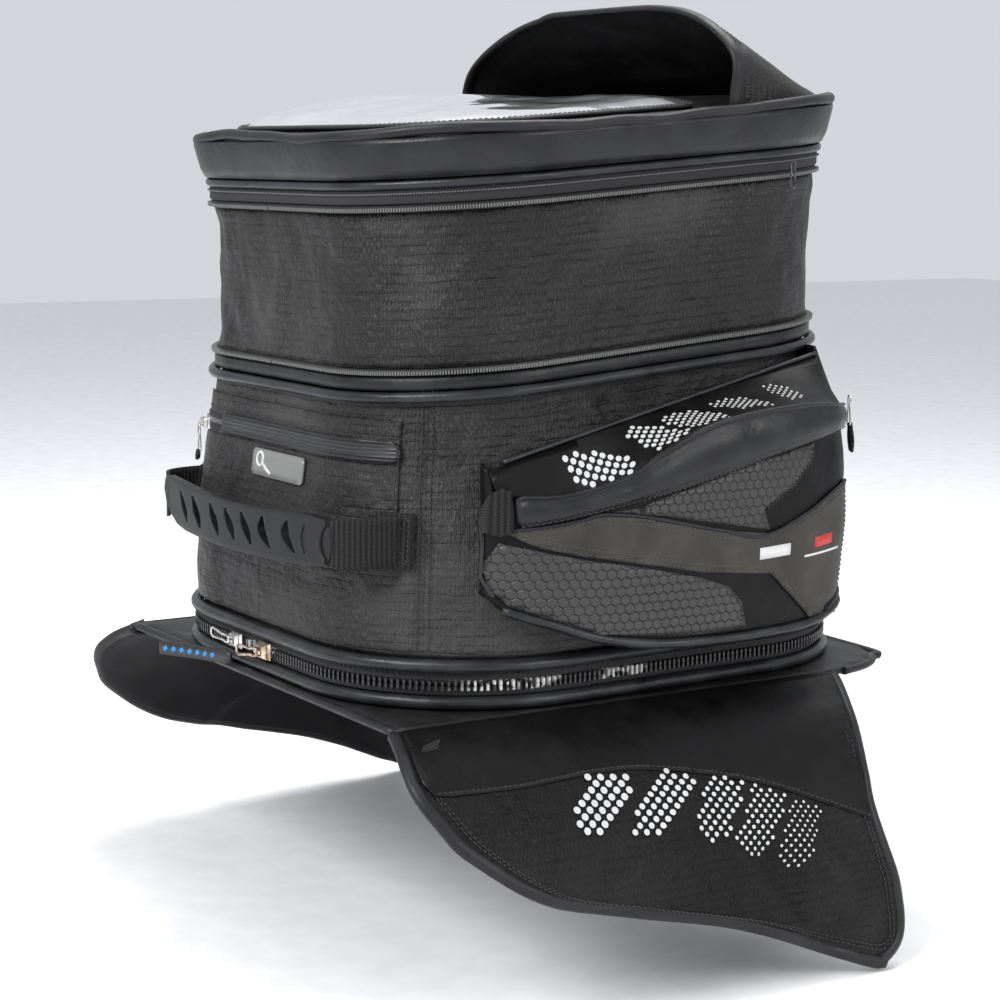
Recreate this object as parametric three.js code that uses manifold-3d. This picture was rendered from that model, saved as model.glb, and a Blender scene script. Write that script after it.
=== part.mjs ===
// A magnetic motorcycle tank bag: a magnetic apron, a zip-off main bag, an expanding top section,
// a hinged lid with a map window and a folding sun hood, two side pockets and a moulded carry handle.
// Millimetres. +X is the rider's right, +Y the front of the motorcycle and +Z up.
// The origin is the middle of the apron's underside, where the bag meets the tank.
import * as THREE from "three";
import { mergeVertices } from "three/addons/utils/BufferGeometryUtils.js";
import Module from "manifold-3d";

const wasm = await Module();
wasm.setup();

// ---------- driving dimensions ----------
const HALF_WIDTH = 165;
const FRONT_HALF_WIDTH = 157;
const HALF_LENGTH = 178;
const REAR_CORNER = 100;
const FRONT_CORNER = 106;
const CORNER_STEPS = 6;
const PITCH = 0.08; // the upper rings rise this much for each millimetre towards the front
const GAP = 0.4; // clearance between neighbouring pieces

const APRON_THICK = 3;
const APRON_HALF_WIDTH = 176.6;
const APRON_REAR = -187;
const APRON_FRONT = 186;

const SHELL_FOOT_Z = 10;
const SHELL_SKIRT_Z = 33.6;
const SHELL_TOP_Z = 188;
const SHELL_THICK = 3;
const MID_ZIP_TOP_Z = 207;
const UPPER_ZIP_Z = 295;
const LID_Z = 314.4;
const LID_TOP_Z = 337;
const DOME = 10;

const WING_ROOT_X = 177;
const WING_THICK = 2.2;
const WING_SPACE = 5.2; // between the outer fabric and the lining, where the magnets lie
const WING_BEND_LENGTH = 123;
const WING_BEND_FROM = 17; // degrees below the horizontal at the root
const WING_BEND_TO = 76;

const HOOD_Y = 55;
const HOOD_HEIGHT = 56;

const HANDLE_Z = 99;
const HANDLE_TALL = 30;

// ---------- materials ----------
function material(colour, roughness, metalness = 0) {
  return new THREE.MeshStandardMaterial({ color: colour, roughness, metalness });
}
const ripstop = material(0x2b2a2b, 0.8);
const coated = material(0x202123, 0.45);
const taupe = material(0x4f4d47, 0.6);
const lining = material(0x0c0c0e, 0.9);
const webbing = material(0x171717, 0.85);
const rubber = material(0x2a2b2f, 0.6);
const zipTape = material(0x101011, 0.8);
const metal = material(0xb9b0a4, 0.3, 1);
const darkMetal = material(0x4a4a4d, 0.4, 1);
const magnetSteel = material(0x8a8c90, 0.35, 1);
const board = material(0x3a3a3c, 0.7);
const badge = material(0x8f8f8c, 0.45);
const clearFilm = material(0xdfe3e8, 0.08);
const tabCloth = material(0x0e0f12, 0.8);

// ---------- general helpers ----------
const root = new THREE.Group();
const radians = (degrees) => (degrees * Math.PI) / 180;

function add(name, geometry, finish, parent = root) {
  const mesh = new THREE.Mesh(geometry, finish);
  mesh.name = name;
  parent.add(mesh);
  return mesh;
}

function solid(geometry) {
  const bare = geometry.index ? geometry.toNonIndexed() : geometry.clone();
  bare.deleteAttribute("normal");
  bare.deleteAttribute("uv");
  const merged = mergeVertices(bare, 1e-4);
  return new wasm.Manifold(
    new wasm.Mesh({
      numProp: 3,
      vertProperties: merged.attributes.position.array,
      triVerts: new Uint32Array(merged.index.array),
    }),
  );
}

function geometryOf(manifold) {
  const made = manifold.getMesh();
  const positions = new Float32Array(made.numVert * 3);
  for (let i = 0; i < made.numVert; i++)
    for (let k = 0; k < 3; k++)
      positions[i * 3 + k] = made.vertProperties[i * made.numProp + k];
  return new THREE.BufferGeometry()
    .setAttribute("position", new THREE.BufferAttribute(positions, 3))
    .setIndex(new THREE.BufferAttribute(new Uint32Array(made.triVerts), 1));
}

function boxSolid(low, high) {
  const size = high.map((v, k) => v - low[k]);
  const box = new THREE.BoxGeometry(...size);
  box.translate(...low.map((v, k) => v + size[k] / 2));
  return solid(box);
}

// A closed body through rows of points of one length, each row a closed loop. The rows close on each
// other, or end in caps: a fan from the middle, or for a thin strip a cap from side to side.
function skinned(rows, ends) {
  const count = rows[0].length;
  const positions = rows.flat().flatMap((p) => [p.x, p.y, p.z]);
  const faces = [];
  const last = ends === "open" ? rows.length : rows.length - 1;
  for (let i = 0; i < last; i++)
    for (let j = 0; j < count; j++) {
      const a = i * count + j;
      const b = i * count + ((j + 1) % count);
      const next = (i + 1) % rows.length;
      const c = next * count + ((j + 1) % count);
      const d = next * count + j;
      faces.push(a, b, c, a, c, d);
    }
  const half = count / 2;
  if (ends === "strip")
    for (const [row, turn] of [[0, true], [rows.length - 1, false]])
      for (let j = 0; j < half - 1; j++) {
        const a = row * count + j;
        const d = row * count + count - 1 - j;
        faces.push(...(turn ? [d, a + 1, a, d, d - 1, a + 1] : [a, a + 1, d, a + 1, d - 1, d]));
      }
  if (ends === "fan")
    for (const [row, turn] of [[0, true], [rows.length - 1, false]]) {
      const middle = new THREE.Vector3();
      rows[row].forEach((p) => middle.addScaledVector(p, 1 / count));
      const centre = positions.length / 3;
      positions.push(middle.x, middle.y, middle.z);
      for (let j = 0; j < count; j++) {
        const a = row * count + j;
        const b = row * count + ((j + 1) % count);
        faces.push(...(turn ? [centre, b, a] : [centre, a, b]));
      }
    }
  return new THREE.BufferGeometry()
    .setAttribute("position", new THREE.Float32BufferAttribute(positions, 3))
    .setIndex(faces);
}

// ---------- the bag's outline ----------
const CORNERS = [
  { x: HALF_WIDTH - REAR_CORNER, y: REAR_CORNER - HALF_LENGTH, r: REAR_CORNER, from: -90 },
  { x: FRONT_HALF_WIDTH - FRONT_CORNER, y: HALF_LENGTH - FRONT_CORNER, r: FRONT_CORNER, from: 0 },
  { x: FRONT_CORNER - FRONT_HALF_WIDTH, y: HALF_LENGTH - FRONT_CORNER, r: FRONT_CORNER, from: 90 },
  { x: REAR_CORNER - HALF_WIDTH, y: REAR_CORNER - HALF_LENGTH, r: REAR_CORNER, from: 180 },
];

// One loop of the outline. share is how much of the upper rings' pitch it takes.
function loop([offset, z, share = 0]) {
  const points = [];
  for (const corner of CORNERS)
    for (let k = 0; k <= CORNER_STEPS; k++) {
      const turn = radians(corner.from + (90 * k) / CORNER_STEPS);
      const y = corner.y + (corner.r + offset) * Math.sin(turn);
      const x = corner.x + (corner.r + offset) * Math.cos(turn);
      points.push(new THREE.Vector3(x, y, z + share * PITCH * y));
    }
  return points;
}

// profile holds [offset, z, share] points, anticlockwise with the offset to the right and z up.
const ring = (profile) => skinned(profile.map(loop), "open");
const stack = (profile) => skinned(profile.map(loop), "fan");

function band(low, high, inner, outer, share) {
  return ring([[inner, low, share], [outer, low, share], [outer, high, share], [inner, high, share]]);
}

function piping(z, radius, middle, share) {
  const sides = 6;
  const profile = [];
  for (let k = 0; k < sides; k++) {
    const turn = (2 * Math.PI * k) / sides;
    profile.push([middle + radius * Math.cos(turn), z + radius * Math.sin(turn), share]);
  }
  return ring(profile);
}

// The lower wall's outer face, moved outwards by extra.
const WALL = [[0.3, SHELL_FOOT_Z, 0], [0.3, SHELL_SKIRT_Z - 0.2, 0], [4.5, SHELL_SKIRT_Z, 0],
  [2, 95, 0.4], [-9, SHELL_TOP_Z, 1]];
const wallRows = (extra) => WALL.map(([offset, z, share]) => [offset + extra, z, share]);

// A layer that follows the lower wall from one distance outside it to another, inside a block.
function wallLayer(near, far, block) {
  const outer = solid(stack(wallRows(far)));
  const inner = solid(stack(wallRows(near)));
  return outer.subtract(inner).intersect(block);
}

// ---------- apron, wings and magnets ----------
function apronCentre() {
  const shape = new THREE.Shape();
  const rear = 3;
  const front = 55;
  const x = APRON_HALF_WIDTH;
  shape.moveTo(-x + rear, APRON_REAR);
  shape.lineTo(x - rear, APRON_REAR);
  shape.absarc(x - rear, APRON_REAR + rear, rear, -Math.PI / 2, 0);
  shape.lineTo(x, APRON_FRONT - front);
  shape.absarc(x - front, APRON_FRONT - front, front, 0, Math.PI / 2);
  shape.lineTo(-x + front, APRON_FRONT);
  shape.absarc(-x + front, APRON_FRONT - front, front, Math.PI / 2, Math.PI);
  shape.lineTo(-x, APRON_REAR + rear);
  shape.absarc(-x + rear, APRON_REAR + rear, rear, Math.PI, Math.PI * 1.5);
  return new THREE.ExtrudeGeometry(shape, { depth: APRON_THICK, bevelEnabled: false, curveSegments: 5 });
}

// Where the wing's outer fabric is, at a distance down it from the root: the point and its normal.
function wingSection(distance) {
  const steps = 40;
  const bend = (s) =>
    radians(WING_BEND_FROM + (WING_BEND_TO - WING_BEND_FROM) * Math.min(1, s / WING_BEND_LENGTH));
  let x = WING_ROOT_X + GAP;
  let z = APRON_THICK;
  for (let k = 0; k < steps; k++) {
    const turn = bend(((k + 0.5) * distance) / steps);
    x += (Math.cos(turn) * distance) / steps;
    z -= (Math.sin(turn) * distance) / steps;
  }
  return { x, z, nx: Math.sin(bend(distance)), nz: Math.cos(bend(distance)) };
}

// The wing's cut: its rear and front edges at each distance down it.
const WING_CUT = [
  [0, -189, 122], [22, -195, 114], [45, -197, 105], [68, -191, 98], [89, -177, 94],
  [110, -154, 93], [127, -118, 98], [136, -72, 101], [145, -26, 102], [160, 6, 104],
  [176, 38, 101], [188, 72, 90],
];

function wingLayer(depth, thick, inset, finish, name, parent) {
  const columns = 1;
  const rows = WING_CUT.map(([distance, rear, front]) => {
    const at = wingSection(distance);
    const top = [];
    const under = [];
    for (let k = 0; k <= columns; k++) {
      const y = rear + inset + ((front - rear - 2 * inset) * k) / columns;
      top.push(new THREE.Vector3(at.x - at.nx * depth, y, at.z - at.nz * depth));
      const d = depth + thick;
      under.push(new THREE.Vector3(at.x - at.nx * d, y, at.z - at.nz * d));
    }
    return [...top, ...under.reverse()];
  });
  add(name, skinned(rows.reverse(), "strip"), finish, parent);
}

const MAGNETS = [{ distance: 87, y: -70 }, { distance: 146, y: 62 }];
const MAGNET_SIZE = { along: 24, across: 56, thick: 2.8 };

function buildWing(side, mirrored) {
  const wing = new THREE.Group();
  wing.scale.x = mirrored ? -1 : 1;
  root.add(wing);
  wingLayer(0, WING_THICK, 0, ripstop, `wing_${side}_cover`, wing);
  wingLayer(WING_THICK + WING_SPACE, 1.5, 1, lining, `wing_${side}_lining`, wing);
  MAGNETS.forEach(({ distance, y }, index) => {
    const at = wingSection(distance);
    const { along, across, thick } = MAGNET_SIZE;
    const slab = new THREE.BoxGeometry(along, across, thick);
    const depth = WING_THICK + WING_SPACE / 2;
    const mesh = add(`wing_${side}_magnet_${index + 1}`, slab, magnetSteel, wing);
    mesh.position.set(at.x - at.nx * depth, y, at.z - at.nz * depth);
    mesh.rotation.y = Math.atan2(at.nx, at.nz);
  });
}

function buildBase() {
  add("apron_centre", apronCentre(), ripstop);
  add("base_board", stack([[-4, APRON_THICK + GAP], [-4, SHELL_FOOT_Z - GAP]]), board);
  add("base_piping", piping(7.6, 4, 5, 0), coated);
  add("base_zip_lower", band(12, 17.3, 1.5, 5, 0), zipTape);
  buildWing("right", false);
  buildWing("left", true);
}

// ---------- main bag ----------
function buildShell() {
  const skirt = WALL[0][0] - SHELL_THICK;
  const inner = [[-12, SHELL_TOP_Z, 1], [-1, 95, 0.4], [1.4, SHELL_SKIRT_Z + 4, 0],
    [skirt, SHELL_SKIRT_Z + 1, 0], [skirt, SHELL_FOOT_Z + SHELL_THICK, 0]];
  add("lower_shell", stack([...WALL, ...inner]), ripstop);
  const floor = [[-7, SHELL_FOOT_Z + SHELL_THICK + GAP], [-7, SHELL_FOOT_Z + SHELL_THICK + 2.6]];
  add("floor_board", stack(floor), board);
  add("base_zip_upper", band(17.7, 23.4, 1.5, 5, 0), zipTape);
  add("lower_piping", piping(28.2, 4.2, 5.2, 0), coated);
  add("middle_piping", piping(192.2, 3.2, -6, 1), coated);
  add("middle_band", band(197, 203, -10.5, -7, 1), coated);
  add("middle_zip", band(203.4, MID_ZIP_TOP_Z, -10.5, -8, 1), zipTape);
  const blocks = {
    right: [[100, -74, 42], [180, 66, 172]],
    left: [[-180, -74, 42], [-100, 66, 172]],
    front: [[-44, 100, 42], [44, 200, 178]],
    rear: [[-60, -200, 42], [60, -100, 160]],
  };
  for (const [side, [low, high]] of Object.entries(blocks)) {
    const layer = wallLayer(-SHELL_THICK - 3, -SHELL_THICK - 1, boxSolid(low, high));
    add(`wall_board_${side}`, geometryOf(layer), board);
  }
}

function buildRearFace() {
  const panel = wallLayer(GAP, 2.2, boxSolid([-116, -220, 86], [133, -120, 168]));
  add("key_pocket_panel", geometryOf(panel), coated);
  const storm = wallLayer(2.6, 4.8, boxSolid([-68, -220, 142], [133, -120, 154.5]));
  add("key_pocket_zip_cover", geometryOf(storm), coated);
  const plate = wallLayer(2.6, 4, boxSolid([-16, -220, 122.5], [50, -120, 138.5]));
  add("key_pocket_badge", geometryOf(plate), badge);
  for (const [side, sign] of [["right", 1], ["left", -1]]) {
    const far = [sign * 138, -120, 115.5];
    const near = [sign * 112, -220, 84.5];
    const low = near.map((v, k) => Math.min(v, far[k]));
    const high = near.map((v, k) => Math.max(v, far[k]));
    add(`handle_patch_${side}`, geometryOf(wallLayer(2.6, 4.6, boxSolid(low, high))), webbing);
  }
}

// ---------- carry handle ----------
// A strip of constant thickness that follows plan points, standing upright.
function uprightStrip(points, thick, low, high) {
  const curve = new THREE.CatmullRomCurve3(points.map(([x, y]) => new THREE.Vector3(x, y, 0)));
  const steps = points.length * 3;
  const near = [];
  const far = [];
  for (let k = 0; k <= steps; k++) {
    const p = curve.getPoint(k / steps);
    const t = curve.getTangent(k / steps);
    near.push(new THREE.Vector2(p.x - (t.y * thick) / 2, p.y + (t.x * thick) / 2));
    far.push(new THREE.Vector2(p.x + (t.y * thick) / 2, p.y - (t.x * thick) / 2));
  }
  const strip = new THREE.ExtrudeGeometry(new THREE.Shape([...far, ...near.reverse()]), {
    depth: high - low, bevelEnabled: false });
  return strip.translate(0, 0, low);
}

const GRIP_SLOTS = 7;

function buildHandle() {
  const low = HANDLE_Z - HANDLE_TALL / 2;
  const high = HANDLE_Z + HANDLE_TALL / 2;
  const line = [[-104, -195], [-60, -201], [0, -204], [60, -201.5], [116, -194]];
  let grip = solid(uprightStrip(line, 4.5, low, high));
  for (let k = 0; k < GRIP_SLOTS; k++) {
    const slot = new THREE.CylinderGeometry(9.5, 9.5, 30, 8);
    slot.scale(0.42, 1, 1);
    slot.translate(-62 + (136 * k) / (GRIP_SLOTS - 1), -202, HANDLE_Z);
    grip = grip.subtract(solid(slot));
  }
  add("handle_grip", geometryOf(grip), rubber);
  const loops = {
    right: [[117, -193.6], [124, -187.5], [129, -179], [131, -166.5]],
    left: [[-128, -168], [-124, -181], [-116, -190], [-105, -194.8]],
  };
  for (const [side, loop] of Object.entries(loops)) {
    add(`handle_strap_${side}`, uprightStrip(loop, 2.4, low + 1, high - 1), webbing);
  }
}

// ---------- side pockets ----------
const POCKET_SLOPE = 0.2; // the pocket's top rises towards the front
const POCKET_RISE = 0.42; // and towards the bag
const pocketTop = (y) => 127 + POCKET_SLOPE * (y + 122);

function pocketPlan(inset) {
  const line = [[100, 128], [150, 128], [184, 118], [199, 80], [203, 20], [199, -40], [186, -92],
    [168, -123], [150, -121], [100, -108]];
  const middle = new THREE.Vector2(120, -5);
  const points = line.map(([x, y]) => {
    const p = new THREE.Vector2(x, y);
    return p.addScaledVector(p.clone().sub(middle).normalize(), -inset);
  });
  const shape = new THREE.Shape();
  shape.moveTo(points[0].x, points[0].y);
  shape.splineThru(points.slice(1));
  shape.closePath();
  return new THREE.ExtrudeGeometry(shape, { depth: 240, bevelEnabled: false, curveSegments: 2 });
}

// The pocket's side profile as a block that crosses it from side to side.
function pocketSide(corners, from = 90, to = 240) {
  const shape = new THREE.Shape(corners.map(([y, z]) => new THREE.Vector2(y, z)));
  const block = new THREE.ExtrudeGeometry(shape, { depth: to - from, bevelEnabled: false });
  block.applyMatrix4(new THREE.Matrix4().makeBasis(
    new THREE.Vector3(0, 1, 0), new THREE.Vector3(0, 0, 1), new THREE.Vector3(1, 0, 0)));
  return solid(block.translate(from, 0, 0));
}

const POCKET_SIDE = [[-118, 66], [-90, 52], [-50, 44], [20, 39], [90, 41], [124, 50], [140, 70],
  [140, 197], [-150, 174], [-150, 90]];

// Everything outboard of the line where the pocket's lid folds, moved outwards by shift.
const FOLD_X = 163.5;
const FOLD_Y = -78;
const FOLD_SLANT = -8 / 150;
function outboard(shift) {
  const shape = new THREE.Shape();
  const x = (y) => FOLD_X + shift + FOLD_SLANT * (y - FOLD_Y);
  shape.moveTo(x(-200), -200);
  shape.lineTo(300, -200);
  shape.lineTo(300, 200);
  shape.lineTo(x(200), 200);
  shape.closePath();
  return solid(new THREE.ExtrudeGeometry(shape, { depth: 300, bevelEnabled: false }));
}

// Everything under the pocket's slanting top, which passes through the front face's top edge.
function underTop(lift) {
  const far = 400;
  const slab = new THREE.BoxGeometry(far, far, far);
  slab.translate(0, 0, -far / 2);
  const toFront = new THREE.Vector3(0, 1, POCKET_SLOPE).normalize();
  const toBag = new THREE.Vector3(-1, 0, POCKET_RISE).normalize();
  const up = new THREE.Vector3().crossVectors(toFront, toBag).normalize();
  const across = new THREE.Vector3().crossVectors(toFront, up);
  slab.applyMatrix4(new THREE.Matrix4().makeBasis(across, toFront, up));
  return solid(slab.translate(194, 0, pocketTop(0) + lift));
}

function buildPocket(side, mirrored) {
  const pocket = new THREE.Group();
  pocket.scale.x = mirrored ? -1 : 1;
  root.add(pocket);
  const bag = solid(stack([...wallRows(GAP), [-9 + GAP, 260, 1]]));
  const outside = solid(pocketPlan(0)).intersect(pocketSide(POCKET_SIDE)).subtract(bag);
  const innerSide = POCKET_SIDE.map(([y, z]) => [y * 0.97, z < 250 ? z + 3.2 : z]);
  const backWall = solid(stack([...wallRows(GAP + 3), [-9 + GAP + 3, 260, 1]]));
  const inside = solid(pocketPlan(3.2)).intersect(pocketSide(innerSide)).subtract(backWall);
  const ledge = outside.intersect(underTop(3.2)).subtract(underTop(-2)).subtract(outboard(-GAP));
  const body = outside.subtract(inside).intersect(underTop(0)).add(ledge);
  add(`pocket_${side}_body`, geometryOf(body), ripstop, pocket);
  const lid = outside.intersect(underTop(3.2)).subtract(underTop(GAP)).intersect(outboard(0));
  add(`pocket_${side}_lid`, geometryOf(lid), ripstop, pocket);

  const layer = solid(pocketPlan(-2.2)).subtract(solid(pocketPlan(-GAP))).subtract(bag);
  const top = (y, drop) => [y, pocketTop(y) - drop];
  const strip = [top(-114, 18), top(-64, 22), top(-40, 22), top(40, 21), top(122, 15), [122, 170], [72, 173],
    [41, 170.5], [11, 167], [-9, 161], [-29, 150], [-42, 142], [-56, 135], [-88, 128.5], [-114, 129]];
  const cover = layer.intersect(pocketSide(strip, 140));
  add(`pocket_${side}_zip_cover`, geometryOf(cover), coated, pocket);
  const trimShape = [[-112, 104], [-62, 94], [0, 79], [50, 74], [86, 46], [118, 42], [122, 60],
    [122, 124], [112, 120], [49, 99], [-2, 108], [-35, 113], [-64, 113.5]];
  const trim = layer.intersect(pocketSide(trimShape, 140));
  add(`pocket_${side}_trim_panel`, geometryOf(trim), taupe, pocket);
}

// ---------- expanding section, upper ring and lid ----------
function buildTop() {
  const wall = ring([[-12, 207.4, 1], [-9.5, 207.4, 1], [-10, 250, 1], [-8, UPPER_ZIP_Z, 1],
    [-10.5, UPPER_ZIP_Z, 1], [-12.5, 250, 1]]);
  add("expansion_wall", wall, ripstop);
  add("upper_zip", band(UPPER_ZIP_Z + GAP, 300, -9.5, -6, 1), zipTape);
  add("upper_band", band(300.4, 308.6, -9, -5, 1), coated);
  add("upper_piping", piping(311.3, 2.6, -5.4, 1), coated);

  const rim = ring([[-6, LID_Z, 1], [-2, LID_Z, 1], [1.5, LID_Z + 8, 1], [4.5, LID_TOP_Z, 1],
    [0.5, LID_TOP_Z, 1]]);
  add("lid_rim", rim, coated);
  add("lid_piping", piping(LID_TOP_Z + 3.2, 2.8, 1.5, 1), coated);
  const dome = (z, lift) => [[-26, z + lift * 0.25, 1], [-60, z + lift * 0.8, 1], [-92, z + lift, 1]];
  add("lid_panel", stack([[-2.6, 331, 1], [-2.6, 336, 1], ...dome(336, DOME)]), lining);
  const filmTop = solid(stack([[-26, 330, 1], ...dome(337.6, DOME)]));
  const filmUnder = solid(stack([[-24, 329, 1], [-24, 336.4 + DOME * 0.25, 1], ...dome(336.4, DOME).slice(1)]));
  const behind = boxSolid([-200, -200, 300], [200, HOOD_Y - 14, 380]);
  add("map_window", geometryOf(filmTop.subtract(filmUnder).intersect(behind)), clearFilm);
}

// ---------- folding hood ----------
const lidEdge = (y) => {
  const front = CORNERS[1];
  const run = front.r + 1;
  const past = Math.max(0, y - front.y);
  return front.x + Math.sqrt(Math.max(0, run * run - past * past));
};
const hoodFloor = (y) => LID_TOP_Z + 7.2 + PITCH * y;

// Half an oval from the right foot, over the top, to the left foot.
function hoodArch(y, halfWidth, height, grow = 0) {
  const sides = 12;
  const points = [];
  for (let k = 0; k <= sides; k++) {
    const turn = (Math.PI * k) / sides;
    const c = Math.cos(turn);
    const x = Math.sign(c) * Math.abs(c) ** 0.45 * (halfWidth + grow);
    points.push(new THREE.Vector3(x, y, hoodFloor(y) + Math.sin(turn) ** 0.6 * (height + grow)));
  }
  return points;
}

function buildHood() {
  const stations = [[HOOD_Y + 5, 1], [90, 0.86], [120, 0.6], [148, 0.32], [166, 0.14]];
  const rows = stations.map(([y, share]) => {
    const width = lidEdge(y) - 5;
    const outer = hoodArch(y, width, HOOD_HEIGHT * share, 0);
    const inner = hoodArch(y, width - 2, HOOD_HEIGHT * share - 2, 0);
    return [...outer, ...inner.reverse()];
  });
  add("hood_skin", skinned(rows.reverse(), "strip"), ripstop);
  const path = new THREE.CatmullRomCurve3(hoodArch(HOOD_Y, lidEdge(HOOD_Y) - 6, HOOD_HEIGHT - 1));
  const disc = new THREE.Shape();
  disc.absarc(0, 0, 2.4, 0, 2 * Math.PI);
  const rim = new THREE.ExtrudeGeometry(disc, { steps: 20, extrudePath: path, curveSegments: 3 });
  add("hood_arch", rim, coated);
}

// ---------- zip sliders and pulls ----------
// A pull hangs below its eye, facing -Y, or lies along -X. On a straight zip it has a slider.
function buildPull(name, { at, facing = 0, scale, finish, slider = false, lies = false }) {
  const place = new THREE.Group();
  place.position.set(...at);
  place.rotation.z = radians(facing);
  root.add(place);
  const body = new THREE.BoxGeometry(12 * scale, 4 * scale, 8 * scale);
  if (slider) add(`${name}_slider`, body, finish, place);
  const plate = new THREE.BoxGeometry(4.4 * scale, 1.4 * scale, 22 * scale);
  plate.translate(0, 0, -11.3 * scale);
  const eye = new THREE.CylinderGeometry(1.2 * scale, 1.2 * scale, 10, 8);
  eye.translate(0, 0, -19 * scale);
  const pull = solid(plate).subtract(solid(eye));
  const mesh = add(`${name}_pull`, geometryOf(pull), finish, place);
  mesh.position.set(0, -3.2 * scale, 0);
  if (lies) mesh.rotation.y = Math.PI / 2;
}

const PULLS = {
  base_zip_right: { at: [12, -187.6, 17.5], scale: 1.15, finish: metal, slider: true, lies: true },
  base_zip_left: { at: [-26, -187.6, 17.5], scale: 1.15, finish: metal, slider: true, lies: true },
  key_pocket: { at: [-76, -183.2, 148], scale: 0.9, finish: metal, slider: true },
  lid: { at: [156.3, 96, 313], facing: 97, scale: 0.75, finish: darkMetal },
  pocket_right: { at: [172, 128.6, 172], facing: 164, scale: 0.85, finish: metal },
  pocket_left: { at: [-172, 128.6, 172], facing: -164, scale: 0.85, finish: metal },
};

// The long cloth tab on the right-hand base slider's pull.
function buildLabelTab() {
  const tab = new THREE.BoxGeometry(76, 1.8, 8.6);
  const mesh = add("base_zip_right_tab", tab, tabCloth);
  mesh.position.set(-52.5, -201, 5.4);
  mesh.rotation.set(0, radians(-4), radians(11.5));
}

buildBase();
buildShell();
buildRearFace();
buildHandle();
buildPocket("right", false);
buildPocket("left", true);
buildTop();
buildHood();
Object.entries(PULLS).forEach(([name, pull]) => buildPull(name, pull));
buildLabelTab();

export default root;
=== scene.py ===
"""A motorcycle tank bag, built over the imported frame.

Lengths in this file are millimetres until a mesh is made. Outlines on the side pocket are (y, z),
on a wing (y, distance down it from the fold) and on the bag's wall (distance round it, z).
"""
import math

import bmesh
import bpy
import numpy as np
from mathutils import Matrix, Vector, noise


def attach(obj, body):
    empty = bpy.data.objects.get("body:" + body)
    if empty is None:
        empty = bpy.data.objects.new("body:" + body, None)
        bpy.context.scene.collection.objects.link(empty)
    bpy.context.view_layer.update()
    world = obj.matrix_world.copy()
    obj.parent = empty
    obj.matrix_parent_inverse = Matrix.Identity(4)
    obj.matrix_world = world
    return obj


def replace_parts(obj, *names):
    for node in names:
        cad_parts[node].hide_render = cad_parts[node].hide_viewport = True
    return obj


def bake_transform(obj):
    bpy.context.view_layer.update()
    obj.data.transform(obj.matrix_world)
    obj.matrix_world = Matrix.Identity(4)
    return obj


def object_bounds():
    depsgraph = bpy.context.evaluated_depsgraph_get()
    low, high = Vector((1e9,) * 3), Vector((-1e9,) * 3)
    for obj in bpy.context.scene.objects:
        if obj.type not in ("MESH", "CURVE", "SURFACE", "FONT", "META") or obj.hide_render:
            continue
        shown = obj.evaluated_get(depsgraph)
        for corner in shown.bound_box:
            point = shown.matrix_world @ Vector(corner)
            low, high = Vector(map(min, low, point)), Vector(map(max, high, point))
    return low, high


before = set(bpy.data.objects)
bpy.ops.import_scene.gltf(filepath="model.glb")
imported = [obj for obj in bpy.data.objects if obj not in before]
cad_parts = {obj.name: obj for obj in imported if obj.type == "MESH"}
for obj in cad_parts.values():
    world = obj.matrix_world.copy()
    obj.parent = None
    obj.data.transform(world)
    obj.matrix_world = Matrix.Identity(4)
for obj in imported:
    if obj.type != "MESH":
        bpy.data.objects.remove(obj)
cad_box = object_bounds()

MM = 0.001
UP, REAR = Vector((0, 0, 1)), Vector((0, -1, 0))
RIGHT, FRONT = Vector((1, 0, 0)), Vector((0, 1, 0))
STITCH = (1.15, 0.32, 0.32)
DOT_SIDES = 9
RIB_PITCH = 5.2
# The bag's top rises by PITCH towards the front; a share of it applies lower down its wall.
PITCH = 0.08
REAR_MIDDLE = (0.0, -178.0, 0.0, -1.0)
# The bag's corners seen from above: each is (x, y, radius, first angle) of an arc.
CORNERS = ((65, -78, 100, -90), (51, 72, 106, 0), (-51, 72, 106, 90), (-65, -78, 100, 180))
# The lower wall's section: heights, offsets from the outline and shares of the pitch.
WALL_Z = (33.6, 60, 95, 140, 188)
WALL_OFFSET = (4.5, 4.2, 2, -3.5, -9)
WALL_SHARE = (0, 0.2, 0.4, 0.7, 1)


# ---------- camera, floor and light ----------
def make_camera():
    data = bpy.data.cameras.new("camera")
    data.lens = 85.75
    data.sensor_width = 36
    data.shift_x = -0.0138
    data.shift_y = -0.0019
    camera = bpy.data.objects.new("camera", data)
    right = Vector((0.535, 0.845, 0.008)).normalized()
    up = Vector((-0.123, 0.069, 0.990))
    up = (up - right * up.dot(right)).normalized()
    back = right.cross(up)
    turn = Matrix((right, up, back)).transposed().to_4x4()
    camera.matrix_world = Matrix.Translation((1.2873, -0.8170, 0.3136)) @ turn
    bpy.context.scene.collection.objects.link(camera)
    bpy.context.scene.camera = camera


def area_light(name, place, target, size, power):
    data = bpy.data.lights.new(name, "AREA")
    data.shape = "RECTANGLE"
    data.size, data.size_y = size
    data.energy = power
    light = bpy.data.objects.new(name, data)
    light.location = place
    direction = Vector(target) - Vector(place)
    light.rotation_euler = direction.to_track_quat("-Z", "Y").to_euler()
    bpy.context.scene.collection.objects.link(light)


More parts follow.
